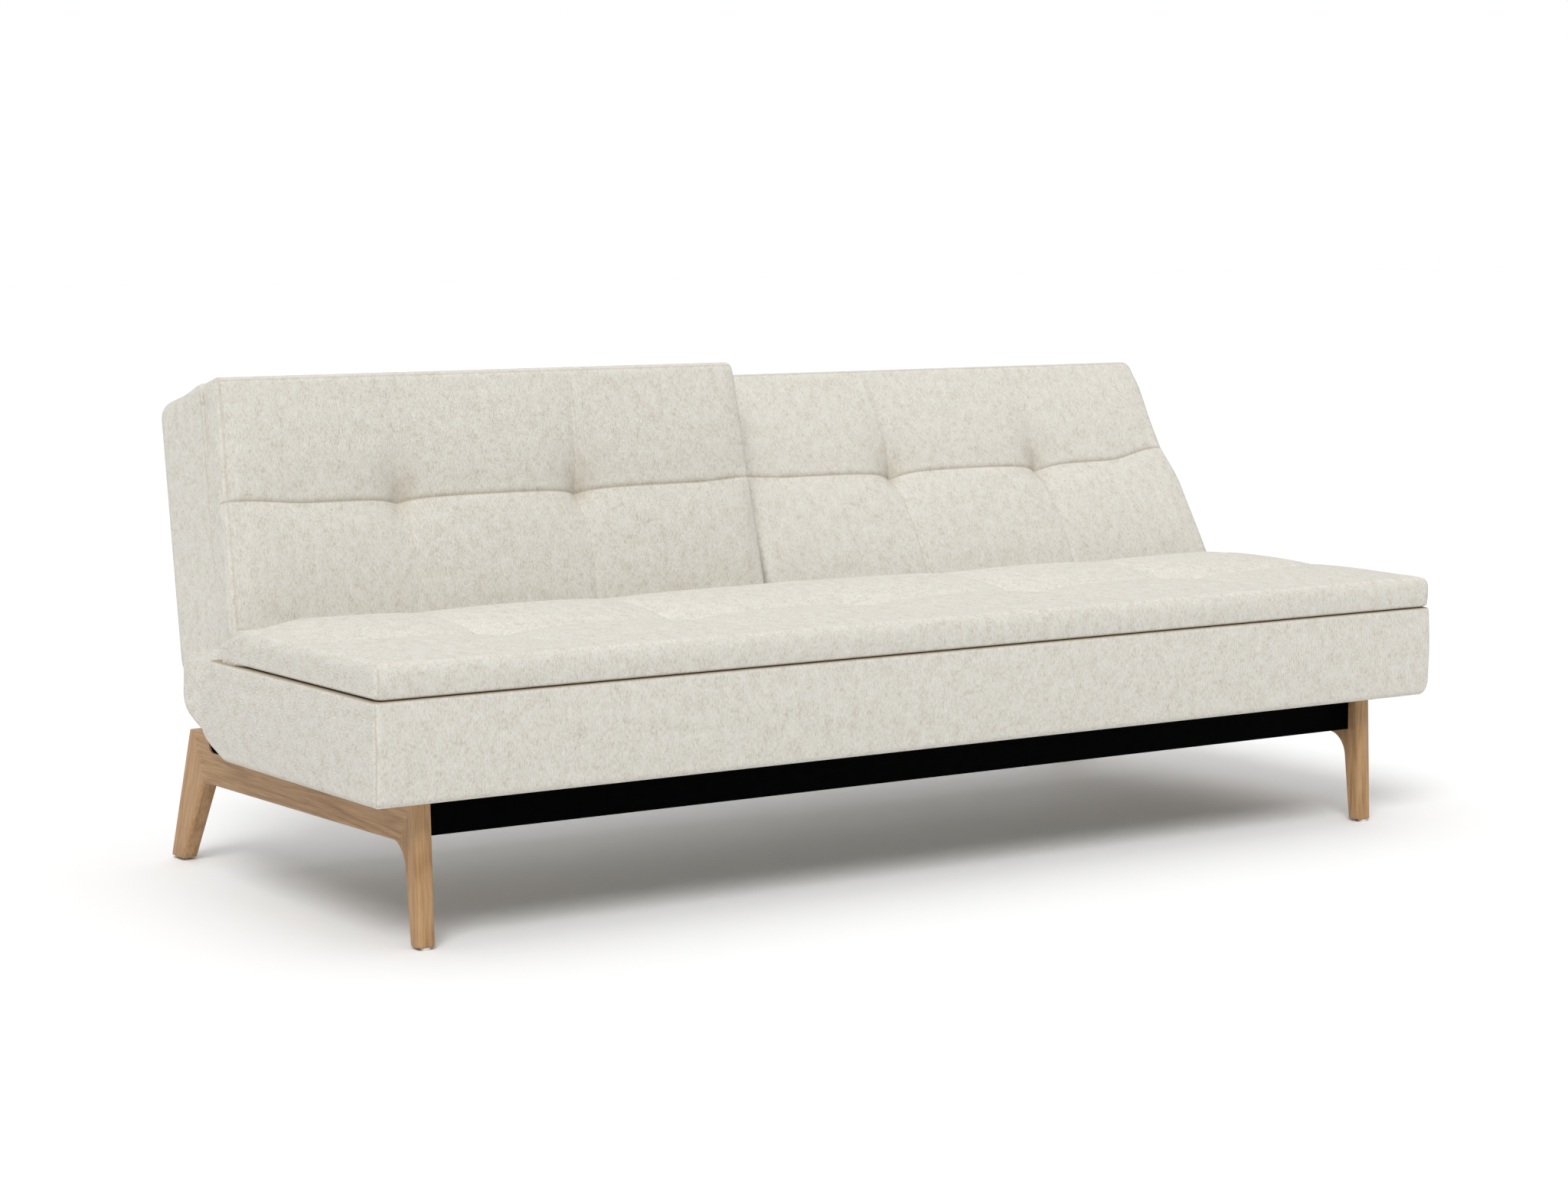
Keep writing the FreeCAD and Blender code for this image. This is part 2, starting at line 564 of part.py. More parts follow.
# Support bars under the seat, coped and welded to the cross tube
bar_low = size("seat_bottom") - size("bar_height")
tube_middle = size("post_front") - size("saddle_steel") - size("tube_radius")
bar_outline = (
    (size("bar_start"), size("seat_bottom"), 0),
    (size("bar_start"), bar_low + 8, 6),
    (size("bar_start") + size("bar_nose"), bar_low, 20),
    (tube_middle, bar_low, 0),
    (tube_middle, size("seat_bottom"), 0),
)
bars = []
for side_name, sign in SIDES:
    start = "sizes.bar_side" if sign > 0 else "-sizes.bar_side - sizes.bar_width"
    bar = plate_body("support_bar_" + side_name, bar_outline, start, "sizes.bar_width", unplaced)
    cope = cylinder_x("bar_cope_" + side_name, "sizes.tube_radius + sizes.weld_gap", "sizes.bar_width + 4",
                      start + " - 2", tube_y, tube_z)
    bars.append(cut("support_bar_coped_" + side_name, bar, [cope]))
keep(group("support_bars", bars, place_on_base), "support_bars")

# Seat frame of steel angle, flange on top, with two middle members for the inner hinges
plate = size("hinge_plate")
gap = size("hinge_gap")
frame_half = "(sizes.hinge_outer + sizes.hinge_gap / 2 + sizes.hinge_plate + sizes.sheet_steel)"
frame_z = "sizes.seat_bottom + sizes.frame_lift"
frame_depth = "(sizes.frame_rear - sizes.frame_front)"
seat_ring = box("seat_frame_block", ("2 * " + frame_half, frame_depth, "sizes.angle_width"),
                ("-" + frame_half, "sizes.frame_front", frame_z))
seat_web = box("seat_frame_web",
               ("2 * %s - 2 * sizes.sheet_steel" % frame_half, frame_depth + " - 2 * sizes.sheet_steel",
                "sizes.angle_width - sizes.sheet_steel"),
               ("-%s + sizes.sheet_steel" % frame_half, "sizes.frame_front + sizes.sheet_steel", frame_z))
seat_window = box("seat_frame_window",
                  ("2 * %s - 2 * sizes.angle_width" % frame_half, frame_depth + " - 2 * sizes.angle_width",
                   "sizes.angle_width + 2"),
                  ("-%s + sizes.angle_width" % frame_half, "sizes.frame_front + sizes.angle_width",
                   frame_z + " - 1"))
seat_angle = cut("seat_frame_angle", seat_ring, [seat_web, seat_window])
inner_wall = "(sizes.hinge_inner - sizes.hinge_gap / 2 - sizes.hinge_plate)"
members = [seat_angle]
for side_name, sign in SIDES:
    start = inner_wall + " - sizes.sheet_steel" if sign > 0 else "-" + inner_wall
    members.append(box("seat_member_" + side_name, ("sizes.sheet_steel", frame_depth, "sizes.angle_width"),
                       (start, "sizes.frame_front", frame_z)))
pivot_y = size("pivot_depth")
pivot_z = size("pivot_height")
frame_low_z = size("seat_bottom") + size("frame_lift")
bracket_high = frame_low_z + size("angle_width") - size("sheet_steel") - 0.5
BRACKET_BOLTS = (
    ("front", "sizes.frame_rear - sizes.bracket_bolt_rear - sizes.bracket_bolt_step"),
    ("rear", "sizes.frame_rear - sizes.bracket_bolt_rear"),
)
bracket_bolt_z = frame_low_z + 13
DRILL_LENGTH = "4 * sizes.hinge_plate + 4"
DRILL_START = " - 2 * sizes.hinge_plate - 2"
frame_tools = []
brackets = []
for side_name, sign in SIDES:
    for at_name in ("outer", "inner"):
        at = "%d * sizes.hinge_%s" % (sign, at_name)
        # The bracket of a hinge lies on the side away from its back.
        outward = (at_name == "outer") == (sign > 0)
        start = (at + " + sizes.hinge_gap / 2" if outward
                 else at + " - sizes.hinge_gap / 2 - sizes.hinge_plate")
        brackets.append((side_name, sign, at_name, at, outward, start))
        frame_tools.append(box("seat_frame_slot_%s_%s" % (side_name, at_name),
                               ("sizes.hinge_plate + 1", "2 * sizes.sheet_steel",
                                "sizes.angle_width - sizes.sheet_steel"),
                               (start + " - 0.5", "sizes.frame_rear - 1.5 * sizes.sheet_steel",
                                frame_z + " - 0.1")))
        for bolt_name, depth in BRACKET_BOLTS:
            frame_tools.append(cylinder_x("seat_frame_drill_%s_%s_%s" % (side_name, at_name, bolt_name),
                                          "sizes.bolt_radius + sizes.bolt_clearance", DRILL_LENGTH,
                                          at + DRILL_START, depth, "%g" % bracket_bolt_z))
keep(group("seat_frame", [cut("seat_frame_cut", fuse("seat_frame_welded", members), frame_tools)],
           place_on_base), "seat_frame")


def slat_row(count, first, last):
    """Even places for a row of slats, clear of the middle members."""
    step = (last - first) / (count - 1)
    return [first + i * step for i in range(count)]


seat_slats = []
slat_first = size("hinge_inner") + size("slat_margin")
slat_last = size("hinge_outer") - size("slat_margin")
per_side = int(size("seat_slat_count") / 2)
for side_name, sign in SIDES:
    for i, place in enumerate(slat_row(per_side, slat_first, slat_last)):
        seat_slats.append(box("seat_slat_%s_%d" % (side_name, i),
                              ("sizes.slat_width", frame_depth + " - 2 * sizes.core_gap",
                               "sizes.slat_thickness"),
                              ("%g - sizes.slat_width / 2" % (sign * place),
                               "sizes.frame_front + sizes.core_gap", frame_z + " + sizes.angle_width")))
keep(group("seat_slats", seat_slats, place_on_base), "seat_slats")

# Foam cores on the slats
core_z = "(sizes.seat_bottom + sizes.frame_lift + sizes.angle_width + sizes.slat_thickness)"
core_top = "(sizes.pivot_height + sizes.seat_over_axis - sizes.seat_padding - sizes.core_gap)"
core_height = "(%s - %s)" % (core_top, core_z)
cores = []
for side_name, sign in SIDES:
    length = "(sizes.hinge_outer - sizes.hinge_inner - 2 * sizes.slot_side)"
    start = ("sizes.hinge_inner + sizes.slot_side" if sign > 0
             else "-sizes.hinge_outer + sizes.slot_side")
    cores.append(box("seat_core_" + side_name, (length, frame_depth + " - 2 * sizes.core_gap", core_height),
                     (start, "sizes.frame_front + sizes.core_gap", core_z)))
keep(group("seat_cores", cores, place_on_base), "seat_cores")


# Soft forms
# Each is a loft through closed sections of lines and arcs, one section per tuft,
# hump and end rounding. A section is a list of points in its own plane.

def section_wire(steps):
    """Closed wire. Each step is ("line", point) or ("arc", middle, point)."""
    edges = []
    here = steps[-1][-1]
    for step in steps:
        if step[0] == "line":
            edges.append(Part.LineSegment(here, step[1]).toShape())
        else:
            edges.append(Part.Arc(here, step[1], step[2]).toShape())
        here = step[-1]
    return Part.Wire(edges)


def loft(wires):
    return Part.makeLoft(wires, True, True)


# Seat box: front face with a low crown, slope under the rear edge, hollow inside
END_STEPS = ((0, 12), (3, 4), (12, 0))
SEAT_EDGE = 12


def seat_box_section(x, inset):
    edge = SEAT_EDGE
    front = inset
    low = size("seat_bottom") + (0 if inset == 0 else inset * 0.8)
    high = SEAT_TOP - inset
    rear = size("seat_box_depth") - inset
    shoulder = size("seat_shoulder_depth") - inset
    under = size("seat_undercut")
    crown = FRONT_CROWN if inset == 0 else 0.5
    point = lambda y, z: V(x, y, z)
    rise = low + under * 0.47
    return section_wire((
        ("line", point(edge + front, low)),
        ("arc", point(front + edge * 0.29, low + edge * 0.29), point(front, low + edge)),
        ("arc", point(front - crown, (low + high) / 2), point(front, high - edge)),
        ("arc", point(front + edge * 0.29, high - edge * 0.29), point(edge + front, high)),
        ("line", point(shoulder - edge, high)),
        ("arc", point(shoulder - edge * 0.29, high - edge * 0.29), point(shoulder, high - edge)),
        ("line", point(shoulder, size("pivot_height") + 8 - inset)),
        ("line", point(rear, size("pivot_height") - 9 - inset / 2)),
        ("line", point(rear, rise + 8)),
        ("arc", point(rear - 5, rise - 4), point(rear - 14, rise - 10)),
        ("line", point(rear - under + 12, low + 4)),
        ("arc", point(rear - under + 2, low + 1), point(rear - under - 8, low)),
    ))


seat_half = size("seat_half")
seat_sections = [seat_box_section(-seat_half + step, inset) for step, inset in END_STEPS]
seat_sections += [seat_box_section(seat_half - step, inset) for step, inset in reversed(END_STEPS)]
seat_shell = loft(seat_sections)
cavity_half = size("hinge_outer") + gap / 2 + plate + size("sheet_steel") + 1
cavity_low = size("seat_bottom") + size("frame_lift")
cavity_top = SEAT_TOP - size("seat_padding") - 4
seat_cavity = Part.makeBox(2 * cavity_half, size("frame_rear") - size("frame_front") + 2, cavity_top - cavity_low,
                           V(-cavity_half, size("frame_front") - 1, cavity_low))
seat_tools = [seat_cavity]


def hinge_places():
    """Low and high X of the room round each hinge."""
    places = []
    for side_name, sign in SIDES:
        for at in (size("hinge_outer"), size("hinge_inner")):
            low, high = sign * at - size("slot_side"), sign * at + size("slot_side")
            places.append((low, high))
    return places


frame_end = size("frame_rear")
box_end = size("seat_box_depth")
KNEE_SHARE = 0.386
bracket_knee = frame_low_z + KNEE_SHARE * (pivot_z - frame_low_z)
slot_outline = ((frame_end - 4, frame_low_z + 1), (frame_end + 3, frame_low_z + 9),
                (box_end - 6, bracket_knee - 5), (box_end + 6, bracket_knee + 12),
                (box_end + 6, pivot_z - 8), (frame_end - 4, pivot_z - 8))
for low, high in hinge_places():
    round_slot = Part.makeCylinder(size("slot_radius"), high - low, V(low, pivot_y, pivot_z), V(1, 0, 0))
    slot_wire = Part.makePolygon([V(low, y, z) for y, z in slot_outline + (slot_outline[0],)])
    seat_tools += [round_slot, Part.Face(slot_wire).extrude(V(high - low, 0, 0))]
for tool in seat_tools:
    seat_shell = seat_shell.cut(tool)
feature("seat_box", seat_shell, place_on_base)

# Seat cushion: two rows of humps, a long seam and sewn tufts
TOPPER_ROUND_TOP = 18
TOPPER_ROUND_LOW = 10


def topper_section(x, inset, front_rise, rear_rise, seam_drop):
    front = inset
    low = TOPPER_BOTTOM + inset
    high = TOPPER_TOP - inset
    rear_high = size("topper_rear_top") - inset
    rear_low = size("topper_rear_bottom") - inset
    seam = size("topper_seam")
    round_top = TOPPER_ROUND_TOP - inset / 2
    round_low = TOPPER_ROUND_LOW - inset / 2
    point = lambda y, z: V(x, y, z)
    panel_front = front + round_top * 1.5
    panel_rear = rear_high - round_top
    return section_wire((
        ("line", point(front + round_low, low)),
        ("arc", point(front + round_low * 0.29, low + round_low * 0.29), point(front, low + round_low)),
        ("arc", point(front - 2, (low + high) / 2), point(front, high - round_top)),
        ("arc", point(front + round_top * 0.4, high - round_top * 0.28), point(panel_front, high)),
        ("arc", point((panel_front + seam) / 2, high + front_rise), point(seam, high - seam_drop)),
        ("arc", point((panel_rear + seam) / 2, high + rear_rise), point(panel_rear, high)),
        ("arc", point(rear_high - round_top * 0.35, high - round_top * 0.3), point(rear_high, high - round_top)),
        ("line", point(rear_low, low)),
    ))


HUMP = (6, 11, 6)
TUFT = (-1, 2, 20)
FRONT_TUFT = (-1, 10, 20)
END_PANEL = (2, 3, 1)
FLAT_END = (0.5, 0.5, -0.5)
topper_half = size("topper_half")
pitch = size("tuft_pitch")
topper_stations = [(0, FRONT_TUFT), (pitch / 2, HUMP), (pitch, TUFT), (1.5 * pitch, HUMP), (2 * pitch, TUFT),
                   ((2 * pitch + topper_half) / 2, HUMP), (topper_half - 14, END_PANEL)]
topper_plan = [(topper_half, 12, FLAT_END), (topper_half - 3, 5, FLAT_END)]
for station, form in reversed(topper_stations):
    topper_plan.append((station, 0, form))
topper_sections = [topper_section(-x, inset, *form) for x, inset, form in topper_plan]
topper_sections += [topper_section(x, inset, *form) for x, inset, form in reversed(topper_plan[:-1])]
feature("seat_cushion", loft(topper_sections), place_on_base)


# Back boxes and back pads, in the frame of the back
back_length = size("back_length")


def back_end(z, along):
    """X of the outer end of a back at a height, drawn in towards the top."""
    foot_x = size("back_half_foot")
    return foot_x + (size("back_half_top") - foot_x) * z / back_length - along


BOX_ROUND = 12
BOX_LOW_ROUND = 34


def back_box_section(place, inset):
    """place maps a height to X. inset draws the section in."""
    front = -size("back_box_front") + inset
    rear = size("back_box_rear") - inset
    low = size("back_box_foot") + inset
    high = back_length - inset
    edge = BOX_ROUND
    big = size("back_rear_round")
    heel = BOX_LOW_ROUND
    point = lambda y, z: V(place(z), y, z)
    return section_wire((
        ("line", point(front + 4, low)),
        ("line", point(front, low + 4)),
        ("line", point(front, high - edge)),
        ("arc", point(front + edge * 0.29, high - edge * 0.29), point(front + edge, high)),
        ("line", point(rear - big, high)),
        ("arc", point(rear - big * 0.293, high - big * 0.293), point(rear, high - big)),
        ("line", point(rear, low + heel)),
        ("arc", point(rear - heel * 0.293, low + heel * 0.293), point(rear - heel, low)),
    ))


PAD_TOP_ROUND = 18


def pad_section(place, inset, low_rise, high_rise, seam_drop):
    front = -size("pad_front") + inset
    rear = -size("back_box_front") - 2 - inset * 0.5
    low = size("pad_foot") + inset
    high = back_length - inset
    seam = size("pad_seam")
    edge = PAD_TOP_ROUND
    start = low + 14
    point = lambda y, z: V(place(z), y, z)
    return section_wire((
        ("line", point(rear, low)),
        ("line", point(front + 12, low)),
        ("arc", point(front + 3, low + 4), point(front, start)),
        ("arc", point(front - low_rise, (start + seam) / 2), point(front + seam_drop, seam)),
        ("arc", point(front - high_rise, (high - edge + seam) / 2), point(front, high - edge)),
        ("arc", point(front + edge * 0.29, high - edge * 0.29), point(front + edge, high)),
        ("line", point(rear, high - 2)),
    ))


PAD_HUMP = (8, 7, 3)
PAD_TUFT = (3, 2, 20)
PAD_END = (2, 2, 0)
PAD_FLAT = (0.5, 0.5, -0.5)
ARM_BOLTS = (
    ("low", "sizes.back_frame_foot + sizes.arm_reach - sizes.arm_bolt_top - sizes.arm_bolt_step"),
    ("high", "sizes.back_frame_foot + sizes.arm_reach - sizes.arm_bolt_top"),
)
hollow_front = -2
hollow_rear = size("back_box_rear") - size("frame_lift")
hollow_low = size("back_frame_foot") - 6
hollow_high = size("back_frame_top") + 4

for side_name, sign in SIDES:
    placer = lambda obj, side_name=side_name: place_on_back(obj, side_name)
    inner_x = size("back_split")

    def station(share, along=0.0, sign=sign, inner_x=inner_x):
        """Plane between the inner end (0) and the drawn-in outer end (1)."""
        return lambda z: sign * (inner_x + along + share * (back_end(z, 0) - inner_x))

    def near_inner(step, sign=sign, inner_x=inner_x):
        return lambda z: sign * (inner_x + step)

    def near_outer(step, sign=sign):
        return lambda z: sign * back_end(z, step)

    ends = ((0, 16), (4, 6), (15, 0))
    sections = [back_box_section(near_inner(step), inset) for step, inset in ends]
    sections += [back_box_section(near_outer(step * 1.6), inset) for step, inset in reversed(ends)]
    shell = loft(sections)
    hollow_in = size("hinge_inner") - plate - size("sheet_steel") - 4
    hollow_out = size("hinge_outer") + 4
    low_x = hollow_in if sign > 0 else -hollow_out
    tools = [Part.makeBox(hollow_out - hollow_in, hollow_rear - hollow_front, hollow_high - hollow_low,
                          V(low_x, hollow_front, hollow_low))]
    for at in (size("hinge_outer"), size("hinge_inner")):
        start = sign * at - size("slot_side")
        width = 2 * size("slot_side")
        tools.append(Part.makeCylinder(size("slot_radius"), width, V(start, 0, 0), V(1, 0, 0)))
        tools.append(Part.makeBox(width, hollow_rear - hollow_front, hollow_low + 2,
                                  V(start, hollow_front, 0)))
    for tool in tools:
        shell = shell.cut(tool)
    feature("back_box_" + side_name, shell, placer)

    tuft_shares = ((size("tuft_pitch") - inner_x) / (size("back_half_foot") - 8 - inner_x),
                   (2 * size("tuft_pitch") - 14 - inner_x) / (size("back_half_foot") - 8 - inner_x))
    inset_out = size("pad_inset")
    plan = [(near_inner(1), 11, PAD_FLAT), (near_inner(4), 4, PAD_FLAT), (near_inner(14), 0, PAD_END),
            (station(tuft_shares[0] / 2), 0, PAD_HUMP), (station(tuft_shares[0]), 0, PAD_TUFT),
            (station((tuft_shares[0] + tuft_shares[1]) / 2), 0, PAD_HUMP),
            (station(tuft_shares[1]), 0, PAD_TUFT), (station((1 + tuft_shares[1]) / 2), 0, PAD_HUMP),
            (near_outer(inset_out + 13), 0, PAD_END), (near_outer(inset_out + 3), 4, PAD_FLAT),
            (near_outer(inset_out), 11, PAD_FLAT)]
    feature("back_pad_" + side_name, loft([pad_section(p, i, *f) for p, i, f in plan]), placer)

    # Back frame of steel angle, flange towards the slats
    outer = "(sizes.hinge_outer - sizes.hinge_gap / 2 + sizes.sheet_steel)"
    inner = "(sizes.hinge_inner + sizes.hinge_gap / 2 - sizes.sheet_steel)"
    low_expr = inner if sign > 0 else "-" + outer
    length = "(%s - %s)" % (outer, inner)
    frame_y = "(sizes.back_box_rear - sizes.frame_lift - sizes.angle_width)"
    frame_height = "(sizes.back_frame_top - sizes.back_frame_foot)"
    block = box("back_frame_block_" + side_name, (length, "sizes.angle_width", frame_height),
                (low_expr, frame_y, "sizes.back_frame_foot"))
    web = box("back_frame_web_" + side_name,
              (length + " - 2 * sizes.sheet_steel", "sizes.angle_width", frame_height + " - 2 * sizes.sheet_steel"),
              (low_expr + " + sizes.sheet_steel", frame_y + " + sizes.sheet_steel",
               "sizes.back_frame_foot + sizes.sheet_steel"))
    window = box("back_frame_window_" + side_name,
                 (length + " - 2 * sizes.angle_width", "sizes.angle_width + 4",
                  frame_height + " - 2 * sizes.angle_width"),
                 (low_expr + " + sizes.angle_width", frame_y + " - 2",
                  "sizes.back_frame_foot + sizes.angle_width"))
    bolt_drills = []
    arm_bolt_y = "(%s + sizes.angle_width / 2 + 1)" % frame_y
    for at_name in ("outer", "inner"):
        for bolt_name, height in ARM_BOLTS:
            start = "%d * sizes.hinge_%s" % (sign, at_name) + DRILL_START
            bolt_drills.append(cylinder_x("back_drill_%s_%s_%s" % (side_name, at_name, bolt_name),
                                          "sizes.bolt_radius + sizes.bolt_clearance", DRILL_LENGTH, start,
                                          arm_bolt_y, height))
        inside = (at_name == "outer") == (sign > 0)
        slot_start = ("%d * sizes.hinge_%s - sizes.hinge_gap / 2 - sizes.hinge_plate - 0.5" % (sign, at_name)
                      if inside else "%d * sizes.hinge_%s + sizes.hinge_gap / 2 - 0.5" % (sign, at_name))
        bolt_drills.append(box("back_frame_slot_%s_%s" % (side_name, at_name),
                               ("sizes.hinge_plate + 1", "sizes.angle_width", "3 * sizes.sheet_steel"),
                               (slot_start, frame_y + " + sizes.sheet_steel",
                                "sizes.back_frame_foot - sizes.sheet_steel")))
    back_frame = cut("back_frame_cut_" + side_name, block, [web, window] + bolt_drills)
    keep(group("back_frame_" + side_name, [back_frame], placer), "back_frame_" + side_name)

    slats = []
    first = size("hinge_inner") + size("back_slat_margin")
    last = size("hinge_outer") - size("back_slat_margin")
    for i, at in enumerate(slat_row(int(size("back_slat_count")), first, last)):
        slats.append(box("back_slat_%s_%d" % (side_name, i),
                         ("sizes.slat_width", "sizes.slat_thickness", frame_height + " - 2 * sizes.core_gap"),
                         ("%g - sizes.slat_width / 2" % (sign * at), frame_y + " - sizes.slat_thickness",
                          "sizes.back_frame_foot + sizes.core_gap")))
    keep(group("back_slats_" + side_name, slats, placer), "back_slats_" + side_name)

    core_start = "%g" % (hollow_front + 2)
    core_depth = "%s - sizes.slat_thickness - %s" % (frame_y, core_start)
    core_length = "(sizes.hinge_outer - sizes.hinge_inner - 2 * sizes.slot_side)"
    core_low = ("sizes.hinge_inner + sizes.slot_side" if sign > 0
                else "-sizes.hinge_outer + sizes.slot_side")
    core = box("back_core_block_" + side_name,
               (core_length, core_depth, frame_height + " - 2 * sizes.core_gap"),
               (core_low, core_start, "sizes.back_frame_foot + sizes.core_gap"))
    keep(group("back_core_" + side_name, [core], placer), "back_core_" + side_name)

    # Hinges. The moving arm carries the ratchet disc, with one notch per position.
    disc = size("ratchet_radius")
    frame_low_y = size("back_box_rear") - size("frame_lift") - size("angle_width")
    frame_high_y = frame_low_y + size("angle_width")
    frame_foot = size("back_frame_foot")
    arm_top = frame_foot + size("arm_reach")
    arm_outline = (
        (disc * 0.31, disc * 0.69, 0),
        (frame_low_y - 15.5, frame_foot - 22, 20),
        (frame_low_y + 4.5, frame_foot - 6, 8),
        (frame_low_y + 4.5, arm_top, 8),
        (frame_high_y - size("sheet_steel"), arm_top, 8),
        (frame_high_y - size("sheet_steel"), frame_foot - 14, 30),
        (disc + 2, -disc * 0.31, 10),
        (disc * 0.31, -disc * 0.44, 0),
    )
    notch = size("ratchet_depth")
    arms = []
    pins = []
    fixed = []
    springs = []
    arm_bolts = []
    bracket_bolts = []
    for bracket in [b for b in brackets if b[0] == side_name]:
        at_name, at, moving_low, fixed_start = bracket[2:]
        tag = side_name + "_" + at_name
        moving_start = (at + " - sizes.hinge_gap / 2 - sizes.hinge_plate" if moving_low
                        else at + " + sizes.hinge_gap / 2")
        arm = plate_body("hinge_arm_" + tag, arm_outline, moving_start, "sizes.hinge_plate", unplaced)
        disc_body = cylinder_x("ratchet_disc_" + tag, "sizes.ratchet_radius", "sizes.hinge_plate",
                               moving_start, "0", "0")
        arm_tools = [cylinder_x("ratchet_bore_" + tag, "sizes.pin_radius + sizes.pin_clearance",
                                "sizes.hinge_plate + 4", moving_start + " - 2", "0", "0")]
        for name in ("tilt_left_deg", "tilt_right_deg", "tilt_flat_deg"):
            angle = math.radians(size("ratchet_angle") + size(name))
            direction = V(0, math.cos(angle), math.sin(angle))
            across = V(0, -math.sin(angle), math.cos(angle))
            wide = notch * 0.9
            tip = direction * (disc - notch)
            corner_a = direction * (disc + notch) + across * (wide * 2)
            corner_b = direction * (disc + notch) - across * (wide * 2)
            wire = Part.makePolygon([tip, corner_a, corner_b, tip])
            wedge = doc.addObject("Part::Feature", "notch_%s_%s" % (tag, name))
            wedge.Shape = Part.Face(wire).extrude(V(plate + 4, 0, 0))
            wedge.setExpression(".Placement.Base.x", moving_start + " - 2")
            arm_tools.append(wedge)
        for bolt_name, height in ARM_BOLTS:
            arm_tools.append(cylinder_x("arm_drill_%s_%s" % (tag, bolt_name),
                                        "sizes.bolt_radius + sizes.bolt_clearance", "sizes.hinge_plate + 4",
                                        moving_start + " - 2", arm_bolt_y, height))
        arms.append(cut("hinge_arm_cut_" + tag, fuse("hinge_arm_disc_" + tag, [arm, disc_body]), arm_tools))

        # Bolts from the arm into the wall of the frame, heads on the arm
        for bolt_name, height in ARM_BOLTS:
            if moving_low:
                shank_start = moving_start
                head_start = moving_start + " - sizes.bolt_head_height"
            else:
                shank_start = moving_start + " - sizes.sheet_steel"
                head_start = moving_start + " + sizes.hinge_plate"
            shank = cylinder_x("arm_shank_%s_%s" % (tag, bolt_name), "sizes.bolt_radius",
                               "sizes.hinge_plate + sizes.sheet_steel", shank_start, arm_bolt_y, height)
            head = hexagon_x("arm_head_%s_%s" % (tag, bolt_name), "sizes.bolt_head_radius",
                             "sizes.bolt_head_height", head_start, arm_bolt_y, height)
            arm_bolts.append(fuse("arm_bolt_%s_%s" % (tag, bolt_name), [shank, head]))

        # Fixed bracket from the wall of the seat frame up to the axis
        fixed_outline = (
            (frame_end - size("bracket_length"), frame_low_z + 0.5, 6),
            (frame_end - 10, frame_low_z + 0.5, 10),
            (frame_end + 5, frame_low_z + 13, 10),
            (box_end - 9, bracket_knee, 14),
            (box_end + 7, pivot_z - 26, 0),
            (pivot_y - 8, pivot_z + 18, 0),
            (frame_end + 8, pivot_z - 26, 18),
            (frame_end + 3, bracket_high + 10, 8),
            (frame_end + 1.5, bracket_high, 1),
            (frame_end - size("bracket_length"), bracket_high, 6),
        )
        bracket_plate = plate_body("hinge_fixed_" + tag, fixed_outline, fixed_start, "sizes.hinge_plate",
                                   unplaced)
        boss = cylinder_x("hinge_boss_" + tag, "sizes.boss_radius", "sizes.hinge_plate", fixed_start,
                          "sizes.pivot_depth", "sizes.pivot_height")
        fixed_tools = [cylinder_x("hinge_bore_" + tag, "sizes.pin_radius + sizes.pin_clearance",
                                  "sizes.hinge_plate + 4", fixed_start + " - 2", "sizes.pivot_depth",
                                  "sizes.pivot_height")]
        for bolt_name, depth in BRACKET_BOLTS:
            fixed_tools.append(cylinder_x("bracket_drill_%s_%s" % (tag, bolt_name),
                                          "sizes.bolt_radius + sizes.bolt_clearance", DRILL_LENGTH,
                                          at + DRILL_START, depth, "%g" % bracket_bolt_z))
            if moving_low:
                shank_start = fixed_start
                head_start = fixed_start + " - sizes.bolt_head_height"
            else:
                shank_start = fixed_start + " - sizes.sheet_steel"
                head_start = fixed_start + " + sizes.hinge_plate"
            shank = cylinder_x("bracket_shank_%s_%s" % (tag, bolt_name), "sizes.bolt_radius",
                               "sizes.hinge_plate + sizes.sheet_steel", shank_start, depth,
                               "%g" % bracket_bolt_z)
            head = hexagon_x("bracket_head_%s_%s" % (tag, bolt_name), "sizes.bolt_head_radius",
                             "sizes.bolt_head_height", head_start, depth, "%g" % bracket_bolt_z)
            bracket_bolts.append(fuse("bracket_bolt_%s_%s" % (tag, bolt_name), [shank, head]))
        fixed.append(cut("hinge_fixed_cut_" + tag, fuse("hinge_fixed_boss_" + tag, [bracket_plate, boss]),
                         fixed_tools))

        # Pin with a head on each side
        pair_start = at + " - sizes.hinge_gap / 2 - sizes.hinge_plate"
        pair = "2 * sizes.hinge_plate + sizes.hinge_gap"
        pin = cylinder_x("pin_shank_" + tag, "sizes.pin_radius", pair + " + 2 * sizes.pin_head_height",
                         pair_start + " - sizes.pin_head_height", "sizes.pivot_depth", "sizes.pivot_height")
        fixed_side = (at + " + sizes.hinge_gap / 2 + sizes.hinge_plate" if moving_low
                      else pair_start + " - sizes.pin_head_height")
        far_side = (pair_start + " - sizes.pin_head_height" if moving_low
                    else at + " + sizes.hinge_gap / 2 + sizes.hinge_plate")
        head_near = cylinder_x("pin_head_" + tag, "sizes.pin_head_radius", "sizes.pin_head_height",
                               fixed_side, "sizes.pivot_depth", "sizes.pivot_height")
        head_far = cylinder_x("pin_far_" + tag, "sizes.pin_head_radius", "sizes.pin_head_height - 0.3",
                              far_side + ("" if moving_low else " + 0.3"), "sizes.pivot_depth",
                              "sizes.pivot_height")
        pins.append(fuse("hinge_pin_" + tag, [pin, head_near, head_far]))

